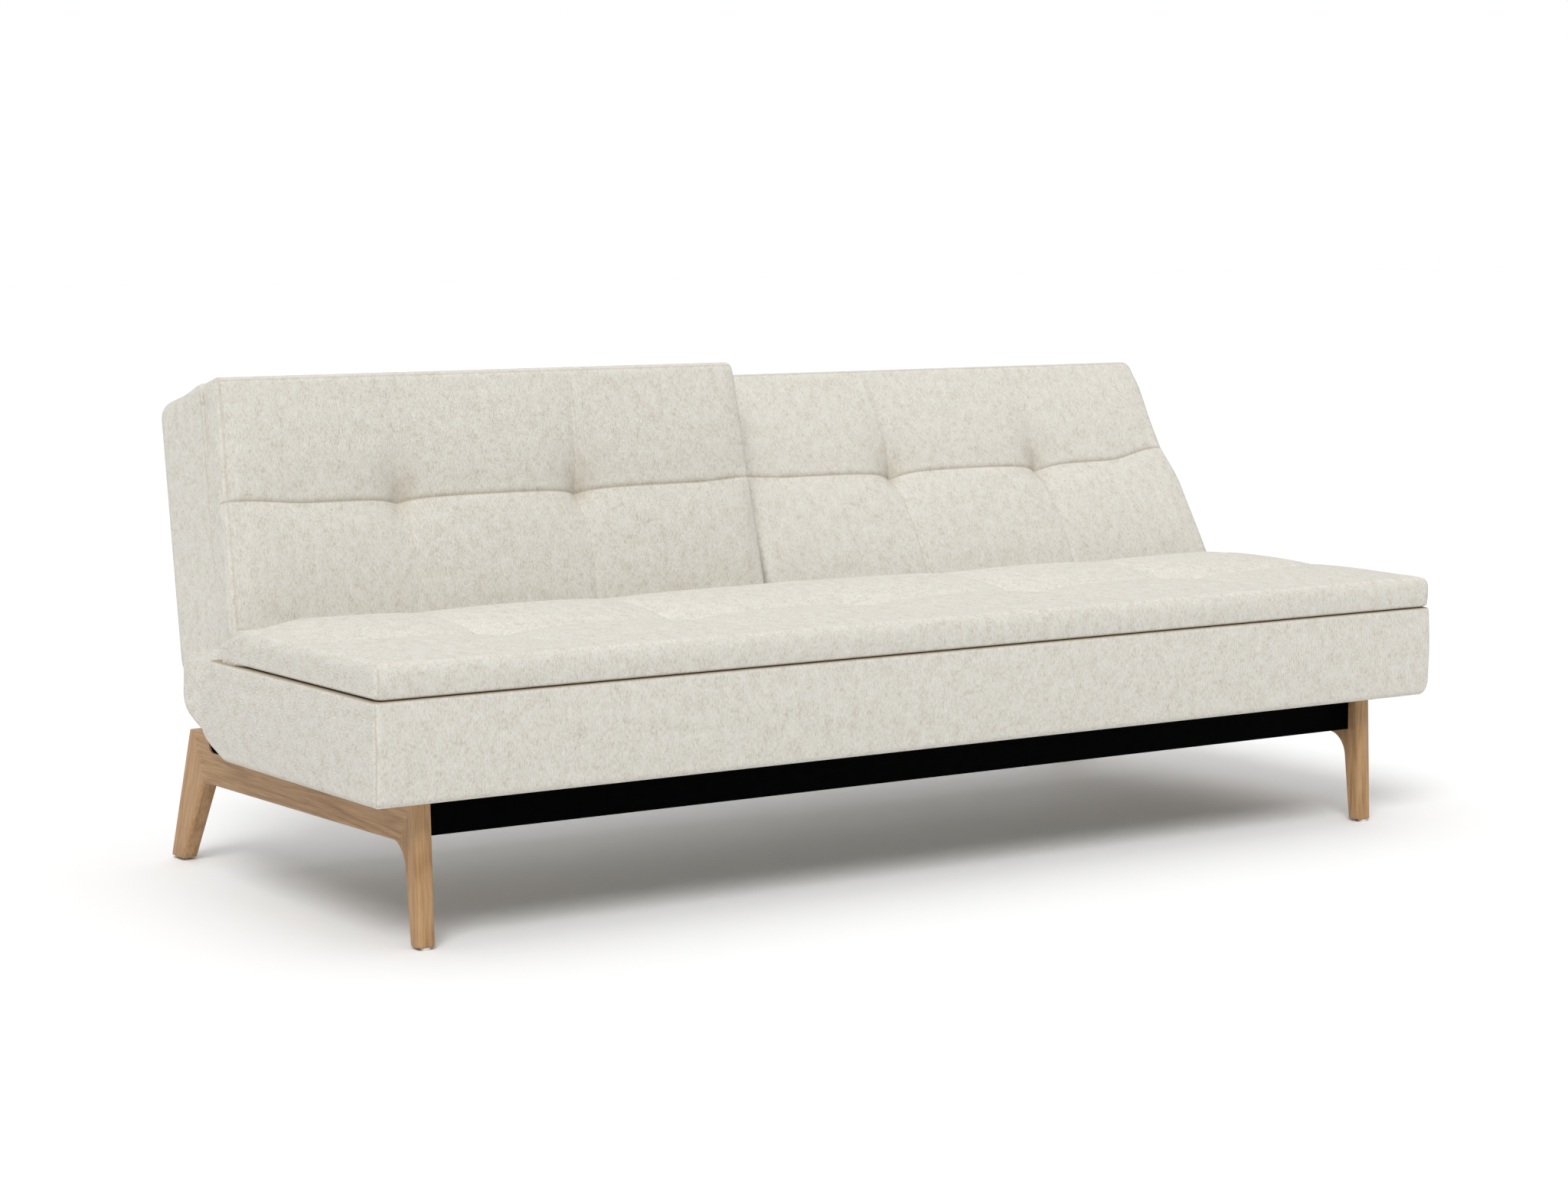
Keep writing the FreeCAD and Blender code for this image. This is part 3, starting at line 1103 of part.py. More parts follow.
        # Detent spring: a bent leaf whose nose sits in the notch of the rest position
        angle = math.radians(size("ratchet_angle"))
        direction = V(0, math.cos(angle), math.sin(angle))
        along = V(0, -math.sin(angle), math.cos(angle)) * (1 if math.cos(angle) > 0 else -1)
        if along.z > 0:
            along = along * -1
        axis_point = V(0, pivot_y, pivot_z)
        thick = size("detent_thickness")
        clear = size("detent_clearance")
        nose = notch * 0.8
        leaf_end = size("detent_length")
        rim = disc + clear + 0.5
        rim_point = lambda out, side: axis_point + direction * out + along * side
        leaf = [rim_point(rim, -nose - 4), rim_point(rim, -nose), rim_point(disc - notch + clear * 2.5, 0),
                rim_point(rim, nose), rim_point(rim, leaf_end), rim_point(rim + thick, leaf_end),
                rim_point(rim + thick, nose - 1), rim_point(disc - notch + clear * 2.5 + thick * 1.6, 0),
                rim_point(rim + thick, -nose + 1), rim_point(rim + thick, -nose - 4)]
        strip = Part.Face(Part.makePolygon(leaf + [leaf[0]])).extrude(V(plate - 0.6, 0, 0))
        foot_start = leaf_end - size("detent_foot")
        foot_points = [rim_point(rim + thick, foot_start), rim_point(rim + thick, leaf_end),
                       rim_point(rim + thick * 5, leaf_end), rim_point(rim + thick * 5, foot_start)]
        strip_foot = Part.Face(Part.makePolygon(foot_points + [foot_points[0]])).extrude(V(plate - 0.6, 0, 0))
        leaf_start = sign * size("hinge_" + at_name) + (-gap / 2 - plate if moving_low else gap / 2)
        bent = strip.fuse(strip_foot).removeSplitter()
        bent.translate(V(leaf_start + (0.6 + gap if moving_low else -gap), 0, 0))
        spring = doc.addObject("Part::Feature", "detent_" + tag)
        spring.Shape = bent
        springs.append(spring)
    keep(group("hinge_arms_" + side_name, arms, placer), "hinge_arms_" + side_name)
    keep(group("hinge_brackets_" + side_name, fixed, place_on_base), "hinge_brackets_" + side_name)
    keep(group("hinge_pins_" + side_name, pins, place_on_base), "hinge_pins_" + side_name)
    keep(group("detent_springs_" + side_name, springs, place_on_base), "detent_springs_" + side_name)
    keep(group("arm_bolts_" + side_name, arm_bolts, placer), "arm_bolts_" + side_name)
    keep(group("bracket_bolts_" + side_name, bracket_bolts, place_on_base), "bracket_bolts_" + side_name)

doc.recompute()

# Checks and output
os.makedirs("parts", exist_ok=True)
for obj in doc.Objects:
    for flag in ("Invalid", "Error"):
        if flag in obj.State:
            raise RuntimeError("%s is %s" % (obj.Name, flag))
whole = FreeCAD.BoundBox()
for obj in nodes:
    shape = obj.Shape
    if shape.isNull() or not shape.isValid():
        raise RuntimeError("%s has no valid shape" % obj.Label)
    whole.add(shape.BoundBox)
for obj in nodes:
    obj.Shape.exportStep(os.path.join("parts", obj.Label + ".step"))
    print("%-24s %d solids, %.1f cm3" % (obj.Label, len(obj.Shape.Solids), obj.Shape.Volume / 1000))
print("origin depth", sheet.get("origin_depth"))
print("whole", whole)
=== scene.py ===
"""Looks of the three-position sofa bed: upholstery, oak, steel, floor, light and camera."""
import bpy
import math
import numpy as np
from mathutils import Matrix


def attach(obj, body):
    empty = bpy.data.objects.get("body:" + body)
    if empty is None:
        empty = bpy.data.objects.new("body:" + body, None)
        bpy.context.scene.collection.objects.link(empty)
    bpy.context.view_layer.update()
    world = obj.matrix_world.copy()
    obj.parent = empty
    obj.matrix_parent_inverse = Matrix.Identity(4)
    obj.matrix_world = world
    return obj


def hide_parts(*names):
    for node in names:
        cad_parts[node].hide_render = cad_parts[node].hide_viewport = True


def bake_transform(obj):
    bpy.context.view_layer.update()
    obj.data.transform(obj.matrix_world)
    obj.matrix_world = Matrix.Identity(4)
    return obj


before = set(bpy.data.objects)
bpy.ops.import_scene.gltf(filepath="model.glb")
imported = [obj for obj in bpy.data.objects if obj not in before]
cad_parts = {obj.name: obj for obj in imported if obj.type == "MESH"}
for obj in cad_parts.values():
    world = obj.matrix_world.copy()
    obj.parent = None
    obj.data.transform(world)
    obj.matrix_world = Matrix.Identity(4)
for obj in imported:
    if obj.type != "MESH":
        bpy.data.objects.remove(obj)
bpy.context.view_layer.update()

# Places are written in millimetres in the seat's own frame: y runs rearward from the
# front face of the seat box, z up from the floor. ORIGIN_DEPTH moves them to the row frame.
ORIGIN_DEPTH = 463.5
PIVOT_Y = 602.0
PIVOT_Z = 354.0
TILT = {"left": 15.4, "right": 29.9}
SIDES = (("left", -1), ("right", 1))
MM = 0.001


def smooth(t):
    t = np.clip(t, 0, 1)
    return t * t * (3 - 2 * t)


def gauss(d, width):
    return np.exp(-(d / width) ** 2)


# Mesh building

def spaced(low, high, cell, edge, seams=()):
    """Grid lines from low to high, closer together near both ends and round each seam."""
    lines = [low + edge * t for t in (0, 0.12, 0.3, 0.52, 0.76, 1)]
    lines += [high - edge * t for t in (0, 0.12, 0.3, 0.52, 0.76, 1)]
    count = max(1, int(round((high - low - 2 * edge) / cell)))
    inner = np.linspace(low + edge, high - edge, count + 1)
    fine = [s + d for s in seams for d in (-7, -3.5, -1.5, 0, 1.5, 3.5, 7)]
    for value in inner:
        if all(abs(value - f) > cell * 0.45 for f in fine) and all(abs(value - l) > 0.6 for l in lines):
            lines.append(value)
    lines += fine
    return np.array(sorted(set(round(v, 3) for v in lines)))


def shell(xs, ys, zs):
    """Surface lattice of a box: points, quads and the side (0 to 5) of each quad."""
    shape = (len(xs), len(ys), len(zs))
    inside = np.zeros(shape, bool)
    inside[1:-1, 1:-1, 1:-1] = True
    index = -np.ones(shape, int)
    index[~inside] = np.arange((~inside).sum())
    grid = np.stack(np.meshgrid(xs, ys, zs, indexing="ij"), -1)
    points = grid[~inside]
    quads = []
    sides = []
    for axis in range(3):
        for end in (0, -1):
            face = np.take(index, end, axis=axis)
            a, b = face[:-1, :-1], face[1:, :-1]
            c, d = face[1:, 1:], face[:-1, 1:]
            ring = (a, b, c, d)
            outward = (axis == 1) != (end == -1)
            if not outward:
                ring = ring[::-1]
            quads.append(np.stack([r.ravel() for r in ring], 1))
            sides += [axis * 2 + (0 if end == 0 else 1)] * quads[-1].shape[0]
    return points, np.concatenate(quads), np.array(sides)


def rounded(points, low, high, radii):
    """Rounds the edges of a box lattice. radii is (low xyz, high xyz), numbers or arrays."""
    q = points.copy()
    radius = np.zeros_like(points)
    for i in range(3):
        low_r = np.broadcast_to(radii[0][i], points[:, i].shape)
        high_r = np.broadcast_to(radii[1][i], points[:, i].shape)
        q[:, i] = np.clip(points[:, i], low[i] + low_r, high[i] - high_r)
        radius[:, i] = np.where(points[:, i] < (low[i] + high[i]) / 2, low_r, high_r)
    away = (points - q) / radius
    length = np.linalg.norm(away, axis=1)
    length[length < 1e-9] = 1
    return q + radius * away / length[:, None]


def to_row(points):
    out = np.array(points, float) * MM
    out[:, 1] -= ORIGIN_DEPTH * MM
    return out


def back_to_seat(points, tilt):
    """From the frame of a back (y to its rear, z along it) to the seat's frame."""
    t = math.radians(tilt)
    out = np.array(points, float)
    y, z = out[:, 1].copy(), out[:, 2].copy()
    out[:, 1] = PIVOT_Y + z * math.sin(t) + y * math.cos(t)
    out[:, 2] = PIVOT_Z + z * math.cos(t) - y * math.sin(t)
    return out


def turn_about_pivot(points, degrees):
    """Turns points rearwards about the hinge axis, by degrees or one angle per point."""
    t = np.radians(degrees)
    out = np.array(points, float)
    y, z = out[:, 1] - PIVOT_Y, out[:, 2] - PIVOT_Z
    out[:, 1] = PIVOT_Y + z * np.sin(t) + y * np.cos(t)
    out[:, 2] = PIVOT_Z + z * np.cos(t) - y * np.sin(t)
    return out


def mesh_object(name, points, quads, uvs=None, attributes=None):
    mesh = bpy.data.meshes.new(name)
    mesh.from_pydata([tuple(p) for p in points], [], [tuple(int(i) for i in q) for q in quads])
    mesh.validate()
    mesh.update()
    for poly in mesh.polygons:
        poly.use_smooth = True
    if uvs is not None:
        layer = mesh.uv_layers.new(name="cloth")
        layer.data.foreach_set("uv", np.asarray(uvs, np.float32).ravel())
    for key, values in (attributes or {}).items():
        attribute = mesh.attributes.new(key, "FLOAT", "POINT")
        attribute.data.foreach_set("value", np.asarray(values, np.float32))
    obj = bpy.data.objects.new(name, mesh)
    bpy.context.scene.collection.objects.link(obj)
    return obj


def cloth_uvs(points, quads, sides, upright_ends=False):
    """Per corner: u across the ribs, v along them, in metres, from the unrounded lattice."""
    p = points[quads] * MM
    u = np.empty(p.shape[:2])
    v = np.empty(p.shape[:2])
    end = (sides < 2)[:, None]
    front = ((sides == 2) | (sides == 3))[:, None]
    across_end, along_end = (1, 2) if upright_ends else (2, 1)
    u[:] = np.where(end, p[..., across_end], p[..., 0])
    v[:] = np.where(end, p[..., along_end], np.where(front, p[..., 2], p[..., 1]))
    return np.stack([u, v], -1).reshape(-1, 2)


# Materials

def nodes_of(name):
    material = bpy.data.materials.new(name)
    material.use_nodes = True
    tree = material.node_tree
    return material, tree, tree.nodes["Principled BSDF"]


def add(tree, kind, **values):
    node = tree.nodes.new(kind)
    for key, value in values.items():
        if key.startswith("in_"):
            node.inputs[key[3:].replace("_", " ")].default_value = value
        else:
            setattr(node, key, value)
    return node


def link(tree, a, b):
    tree.links.new(a, b)


def math_node(tree, operation, a, b=None, clamp=False):
    node = tree.nodes.new("ShaderNodeMath")
    node.operation = operation
    node.use_clamp = clamp
    for socket, value in zip(node.inputs, (a, b)):
        if value is None:
            continue
        if isinstance(value, (int, float)):
            socket.default_value = value
        else:
            tree.links.new(value, socket)
    return node.outputs[0]


def ramp(tree, factor, stops):
    node = tree.nodes.new("ShaderNodeValToRGB")
    elements = node.color_ramp.elements
    while len(elements) < len(stops):
        elements.new(0.5)
    for element, (place, colour) in zip(elements, stops):
        element.position = place
        element.color = (*colour, 1)
    tree.links.new(factor, node.inputs[0])
    return node.outputs[0]


def mixed(tree, factor, a, b, blend="MIX"):
    node = tree.nodes.new("ShaderNodeMix")
    node.data_type = "RGBA"
    node.blend_type = blend
    for socket, value in zip((node.inputs[0], node.inputs[6], node.inputs[7]), (factor, a, b)):
        if isinstance(value, (int, float)):
            socket.default_value = value
        elif isinstance(value, tuple):
            socket.default_value = (*value, 1)
        else:
            tree.links.new(value, socket)
    return node.outputs[2]


RIB_PITCH = 0.0026
LOOP_LENGTH = 0.0031
CREAM = (0.66, 0.636, 0.575)
CREAM_LIGHT = (0.77, 0.75, 0.695)
CREAM_DARK = (0.5, 0.452, 0.36)
# beige-brown of the stitching, also used as painted shade in the seat gap, round the tufts and along the
# creases
THREAD_AND_PAINTED_SHADE_BEIGE = (0.36, 0.285, 0.185)


def fabric_material():
    material, tree, shader = nodes_of("cream_ribbed_weave")
    uv = add(tree, "ShaderNodeUVMap", uv_map="cloth")
    split = add(tree, "ShaderNodeSeparateXYZ")
    link(tree, uv.outputs[0], split.inputs[0])
    u, v = split.outputs[0], split.outputs[1]
    # wobble keeps the ribs from being ruled lines
    wobble = add(tree, "ShaderNodeTexNoise", in_Scale=60.0, in_Detail=2.0)
    link(tree, uv.outputs[0], wobble.inputs["Vector"])
    shift = math_node(tree, "MULTIPLY", wobble.outputs[0], 0.0011)
    across = math_node(tree, "ADD", u, shift)
    ribs = math_node(tree, "DIVIDE", across, RIB_PITCH)
    rib_number = math_node(tree, "FLOOR", ribs)
    rib_side = math_node(tree, "SUBTRACT", math_node(tree, "FRACT", ribs), 0.5)
    # yarn loops along each rib, each row half a loop further
    half_step = math_node(tree, "MULTIPLY", math_node(tree, "FLOORED_MODULO", rib_number, 2.0), 0.5)
    loops = math_node(tree, "ADD", math_node(tree, "DIVIDE", v, LOOP_LENGTH), half_step)
    loop_number = math_node(tree, "FLOOR", loops)
    loop_side = math_node(tree, "SUBTRACT", math_node(tree, "FRACT", loops), 0.5)
    rib_fall = math_node(tree, "MULTIPLY", math_node(tree, "MULTIPLY", rib_side, rib_side), 4.0)
    loop_fall = math_node(tree, "MULTIPLY", math_node(tree, "MULTIPLY", loop_side, loop_side), 2.2)
    height = math_node(tree, "SUBTRACT", math_node(tree, "SUBTRACT", 1.0, rib_fall), loop_fall)
    # each loop has its own tone, and slubs of beige yarn run a few loops along the rib
    place = add(tree, "ShaderNodeCombineXYZ")
    link(tree, rib_number, place.inputs[0])
    link(tree, loop_number, place.inputs[1])
    chance = add(tree, "ShaderNodeTexWhiteNoise", noise_dimensions="2D")
    link(tree, place.outputs[0], chance.inputs["Vector"])
    fleck_map = add(tree, "ShaderNodeMapping")
    fleck_map.inputs["Scale"].default_value = (380, 120, 1)
    link(tree, uv.outputs[0], fleck_map.inputs[0])
    flecks = add(tree, "ShaderNodeTexNoise", in_Scale=1.0, in_Detail=4.0, in_Roughness=0.7)
    link(tree, fleck_map.outputs[0], flecks.inputs["Vector"])
    cloud_map = add(tree, "ShaderNodeMapping")
    cloud_map.inputs["Scale"].default_value = (60, 34, 1)
    link(tree, uv.outputs[0], cloud_map.inputs[0])
    clouds = add(tree, "ShaderNodeTexNoise", in_Scale=1.0, in_Detail=3.0, in_Roughness=0.55)
    link(tree, cloud_map.outputs[0], clouds.inputs["Vector"])
    tone = math_node(tree, "ADD", math_node(tree, "MULTIPLY", flecks.outputs[0], 0.62),
                     math_node(tree, "MULTIPLY", clouds.outputs[0], 0.28))
    tone = math_node(tree, "ADD", tone, math_node(tree, "MULTIPLY", chance.outputs["Value"], 0.1))
    base = ramp(tree, tone, ((0.32, CREAM_DARK), (0.48, CREAM), (0.66, CREAM_LIGHT)))
    # painted shade: the valleys between the ribs are darkened towards the dark cream by their depth,
    # standing in for the shade in them
    painted_rib_valley_shade = math_node(tree, "MULTIPLY", math_node(tree, "SUBTRACT", 0.3, height, clamp=True), 0.42)
    ribbed = mixed(tree, painted_rib_valley_shade, base, CREAM_DARK)
    # the seam attribute mixes in a beige-brown: the colour of the stitch lines, and also painted shade in
    # the gap between seat box and cushion, round the tufts of the backs and along their creases
    seam = add(tree, "ShaderNodeAttribute", attribute_name="seam")
    colour = mixed(tree, seam.outputs["Fac"], ribbed, THREAD_AND_PAINTED_SHADE_BEIGE)
    link(tree, colour, shader.inputs["Base Color"])
    bump = add(tree, "ShaderNodeBump", in_Strength=0.6, in_Distance=0.0006)
    link(tree, height, bump.inputs["Height"])
    link(tree, bump.outputs[0], shader.inputs["Normal"])
    shader.inputs["Roughness"].default_value = 0.92
    shader.inputs["Specular IOR Level"].default_value = 0.18
    shader.inputs["Sheen Weight"].default_value = 0.12
    shader.inputs["Sheen Roughness"].default_value = 0.5
    return material


def oak_material(name, grain_axis):
    """grain_axis: the direction that the wood's fibres run in, as a unit vector."""
    material, tree, shader = nodes_of(name)
    coordinates = add(tree, "ShaderNodeTexCoord")
    turn = add(tree, "ShaderNodeMapping")
    angle = math.atan2(grain_axis[2], grain_axis[1])
    turn.vector_type = "POINT"
    turn.inputs["Rotation"].default_value = (-angle, 0, 0)
    link(tree, coordinates.outputs["Object"], turn.inputs[0])
    # figure: long soft bands across the board, bent a little
    stretch = add(tree, "ShaderNodeMapping")
    stretch.inputs["Scale"].default_value = (12, 0.9, 15)
    link(tree, turn.outputs[0], stretch.inputs[0])
    warp = add(tree, "ShaderNodeTexNoise", in_Scale=1.0, in_Detail=1.0, in_Roughness=0.4)
    link(tree, stretch.outputs[0], warp.inputs["Vector"])
    waves = math_node(tree, "SINE", math_node(tree, "MULTIPLY", warp.outputs[0], 105.0))
    waves = math_node(tree, "ADD", math_node(tree, "MULTIPLY", waves, 0.5), 0.5)
    bands = math_node(tree, "MULTIPLY", math_node(tree, "MULTIPLY", waves, waves), waves)
    fine_map = add(tree, "ShaderNodeMapping")
    fine_map.inputs["Scale"].default_value = (520, 14, 520)
    link(tree, turn.outputs[0], fine_map.inputs[0])
    fine = add(tree, "ShaderNodeTexNoise", in_Scale=1.0, in_Detail=4.0, in_Roughness=0.7)
    link(tree, fine_map.outputs[0], fine.inputs["Vector"])
    pore_map = add(tree, "ShaderNodeMapping")
    pore_map.inputs["Scale"].default_value = (900, 45, 900)
    link(tree, turn.outputs[0], pore_map.inputs[0])
    pores = add(tree, "ShaderNodeTexNoise", in_Scale=1.0, in_Detail=2.0)
    link(tree, pore_map.outputs[0], pores.inputs["Vector"])
    tone = math_node(tree, "SUBTRACT", fine.outputs[0], math_node(tree, "MULTIPLY", bands, 0.14))
    colour = ramp(tree, tone, ((0.2, (0.26, 0.14, 0.058)), (0.4, (0.38, 0.22, 0.102)),
                               (0.53, (0.45, 0.275, 0.138)), (0.7, (0.53, 0.337, 0.18))))
    pore = math_node(tree, "MULTIPLY", math_node(tree, "GREATER_THAN", pores.outputs[0], 0.64), 0.22)
    colour = mixed(tree, pore, colour, (0.2, 0.115, 0.055))
    link(tree, colour, shader.inputs["Base Color"])
    bump = add(tree, "ShaderNodeBump", in_Strength=0.12, in_Distance=0.0003)
    link(tree, fine.outputs[0], bump.inputs["Height"])
    link(tree, bump.outputs[0], shader.inputs["Normal"])
    shader.inputs["Roughness"].default_value = 0.52
    shader.inputs["Specular IOR Level"].default_value = 0.35
    return material


def speckled_material(name, dark, light, scale, roughness, metallic=0.0, bump_depth=0.0001):
    """Powder coat, plating, foam or plastic: two near tones, uneven gloss and a fine grain."""
    material, tree, shader = nodes_of(name)
    coordinates = add(tree, "ShaderNodeTexCoord")
    grain = add(tree, "ShaderNodeTexNoise", in_Scale=scale, in_Detail=4.0, in_Roughness=0.6)
    link(tree, coordinates.outputs["Object"], grain.inputs["Vector"])
    cloud = add(tree, "ShaderNodeTexNoise", in_Scale=scale / 40, in_Detail=3.0)
    link(tree, coordinates.outputs["Object"], cloud.inputs["Vector"])
    colour = ramp(tree, cloud.outputs[0], ((0.3, dark), (0.7, light)))
    link(tree, colour, shader.inputs["Base Color"])
    gloss = math_node(tree, "ADD", math_node(tree, "MULTIPLY", grain.outputs[0], 0.15), roughness - 0.07)
    link(tree, gloss, shader.inputs["Roughness"])
    bump = add(tree, "ShaderNodeBump", in_Strength=0.3, in_Distance=bump_depth)
    link(tree, grain.outputs[0], bump.inputs["Height"])
    link(tree, bump.outputs[0], shader.inputs["Normal"])
    shader.inputs["Metallic"].default_value = metallic
    return material


fabric = fabric_material()
oak_rail = oak_material("oak_along_rail", (0, 1, 0))
oak_front = oak_material("oak_along_front_leg", (0, 0.04, 1))
oak_rear = oak_material("oak_along_rear_leg", (0, -0.37, 1))
beech = oak_material("beech_slats", (0, 1, 0))
black_steel = speckled_material("black_powder_coat", (0.0004, 0.0004, 0.0004),
                                (0.0012, 0.0012, 0.0012), 2400, 0.6)
black_steel.node_tree.nodes["Principled BSDF"].inputs["Specular IOR Level"].default_value = 0.012
zinc_steel = speckled_material("zinc_plate", (0.45, 0.45, 0.46), (0.6, 0.6, 0.6), 900, 0.35, 1.0)
spring_steel = speckled_material("blued_spring", (0.2, 0.21, 0.24), (0.3, 0.31, 0.34), 900, 0.3, 1.0)
foam = speckled_material("foam", (0.75, 0.7, 0.5), (0.85, 0.8, 0.62), 700, 0.95, 0.0, 0.0006)
glide_plastic = speckled_material("glide_plastic", (0.6, 0.58, 0.54), (0.72, 0.7, 0.66), 900, 0.6)

NODE_MATERIALS = (
    ("side_rail", oak_rail), ("front_leg", oak_front), ("rear_leg", oak_rear), ("glides", glide_plastic),
    ("front_cross_rail", black_steel), ("rear_cross_tube", black_steel), ("rear_saddle", black_steel),
    ("support_bars", black_steel), ("seat_frame", black_steel), ("back_frame", black_steel),
    ("seat_slats", beech), ("back_slats", beech), ("seat_cores", foam), ("back_core", foam),
    ("detent_springs", spring_steel), ("hinge", zinc_steel), ("frame_bolts", zinc_steel),
    ("arm_bolts", zinc_steel), ("bracket_bolts", zinc_steel),
)
for name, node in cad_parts.items():
    for prefix, material in NODE_MATERIALS:
        if name.startswith(prefix):
            node.data.materials.clear()
            node.data.materials.append(material)
            break


# Upholstery

def dress(obj, node=None):
    obj.data.materials.append(fabric)
    if node:
        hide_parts(node)
    return obj


SEAT_HALF = 1046.0
BOX_LOW, BOX_HIGH = 226.0, 382.0
BOX_REAR = 597.0


def seat_box_cover():
    low, high = (-SEAT_HALF, 0, BOX_LOW), (SEAT_HALF, BOX_REAR, BOX_HIGH)
    xs = spaced(low[0], high[0], 16, 12)
    ys = spaced(low[1], high[1], 14, 12)
    zs = spaced(low[2], high[2], 9, 12)
    lattice, quads, sides = shell(xs, ys, zs)
    p = rounded(lattice, low, high, ((9, 9, 10), (9, 14, 4.5)))
    x, y, z = p.T.copy()
    up = (z - BOX_LOW) / (BOX_HIGH - BOX_LOW)
    # slope under the rear edge
    rear = BOX_REAR - 77 * smooth((262 - z) / 40) ** 0.8
    rear = np.where(z > 352, np.minimum(rear, BOX_REAR - 31 * smooth((z - 350) / 12)), rear)
    y = y * rear / BOX_REAR
    # crown of the front and of the ends
    puff = np.sin(np.pi * np.clip(up, 0, 1))
    y -= 3.5 * puff * smooth((30 - y) / 30)
    along = smooth((y + 5) / 90) * smooth((600 - y) / 90)
    x += np.sign(x) * 3 * puff * along * smooth((np.abs(x) - 1020) / 26)
    x -= 11 * smooth((252 - z) / 30) ** 1.5 * smooth((x - 985) / 60)
    # the end fabric is drawn into soft folds towards the rear, and ripples a little in front
    folds = np.sin(y / 8.5 + 0.035 * (z - 300) + 1.4 * np.sin(y / 41)) * smooth((y - 250) / 160)
    x += np.sign(x) * 1.1 * folds * puff * smooth((np.abs(x) - 1030) / 12)
    y -= 0.7 * np.sin(x / 37 + 0.6 * np.sin(z / 23)) * np.sin(x / 131 + 2) * puff * smooth((20 - y) / 20)
    points = np.stack([x, y, z], 1)
    corner = gauss(np.abs(lattice[:, 0]) - SEAT_HALF, 2.2) * gauss(lattice[:, 1], 2.2) * 0.35
    # painted shade: the top edge along the gap under the cushion is darkened to beige-brown through the
    # seam attribute
    painted_gap_shade = smooth((z - 378.5) / 3) * 0.85
    obj = mesh_object("seat_box_cover", to_row(points), quads, cloth_uvs(lattice, quads, sides),
                      {"seam": np.maximum(corner, painted_gap_shade)})
    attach(obj, "base")
    return dress(obj, "seat_box")


TOPPER_HALF = 1043.0
TOPPER_LOW, TOPPER_HIGH = 382.7, 437.0
TOPPER_REAR = 531.0
TOPPER_SEAM = 290.0
TOPPER_EDGE = 436.0
FRONT_CREST, REAR_CREST = 442.5, 448.5
SEAM_HEIGHT = 430.5
TOPPER_TUFTS = (-700, -350, 0, 350, 700)
REAR_ROW_TUFTS = (-700, -350, 350, 700)


def near_tuft(x, tufts):
    return np.min([np.abs(x - t) for t in tufts], axis=0)


def topper_height(x, y):
    """Height of the top of the seat cushion: two rows of humps and a tufted seam."""
    front_d = near_tuft(x, TOPPER_TUFTS)
    rear_d = near_tuft(x, REAR_ROW_TUFTS)
    front_crest = FRONT_CREST - 11 * np.exp(-(front_d / 55) ** 1.0)
    rear_crest = REAR_CREST - 11.5 * np.exp(-(rear_d / 55) ** 1.0)
    seam = SEAM_HEIGHT - 15 * np.exp(-(front_d / 62) ** 1.05)
    end = smooth((TOPPER_HALF - 10 - np.abs(x)) / 110)
    t = np.clip((y - 6) / (TOPPER_SEAM - 6), 0, 1)
    bow = 1 - np.abs(2 * t ** 1.75 - 1) ** 2.3
    edge = TOPPER_EDGE
    front = edge + (seam - edge) * t ** 3 + (front_crest - edge - (seam - edge) * 0.34) * bow
    t = np.clip((TOPPER_REAR - y) / (TOPPER_REAR - TOPPER_SEAM), 0, 1)
    bow = 1 - np.abs(2 * t ** 0.86 - 1) ** 2.5
    rear = edge + (seam - edge) * t ** 2.6 + (rear_crest - edge - (seam - edge) * 0.16) * bow
    z = np.where(y < TOPPER_SEAM, front, rear)
    z = z - 1.8 * gauss(y - TOPPER_SEAM, 3.0)
    ramp_front = smooth((y - 30) / 60) * smooth((TOPPER_SEAM - y) / 10)
    z = z - 1.2 * gauss(front_d, 3.2) * ramp_front
    z = z - 1.2 * gauss(rear_d, 3.2) * smooth((y - TOPPER_SEAM) / 10) * smooth((TOPPER_REAR - 20 - y) / 40)
    return edge + (z - edge) * (0.25 + 0.75 * end)


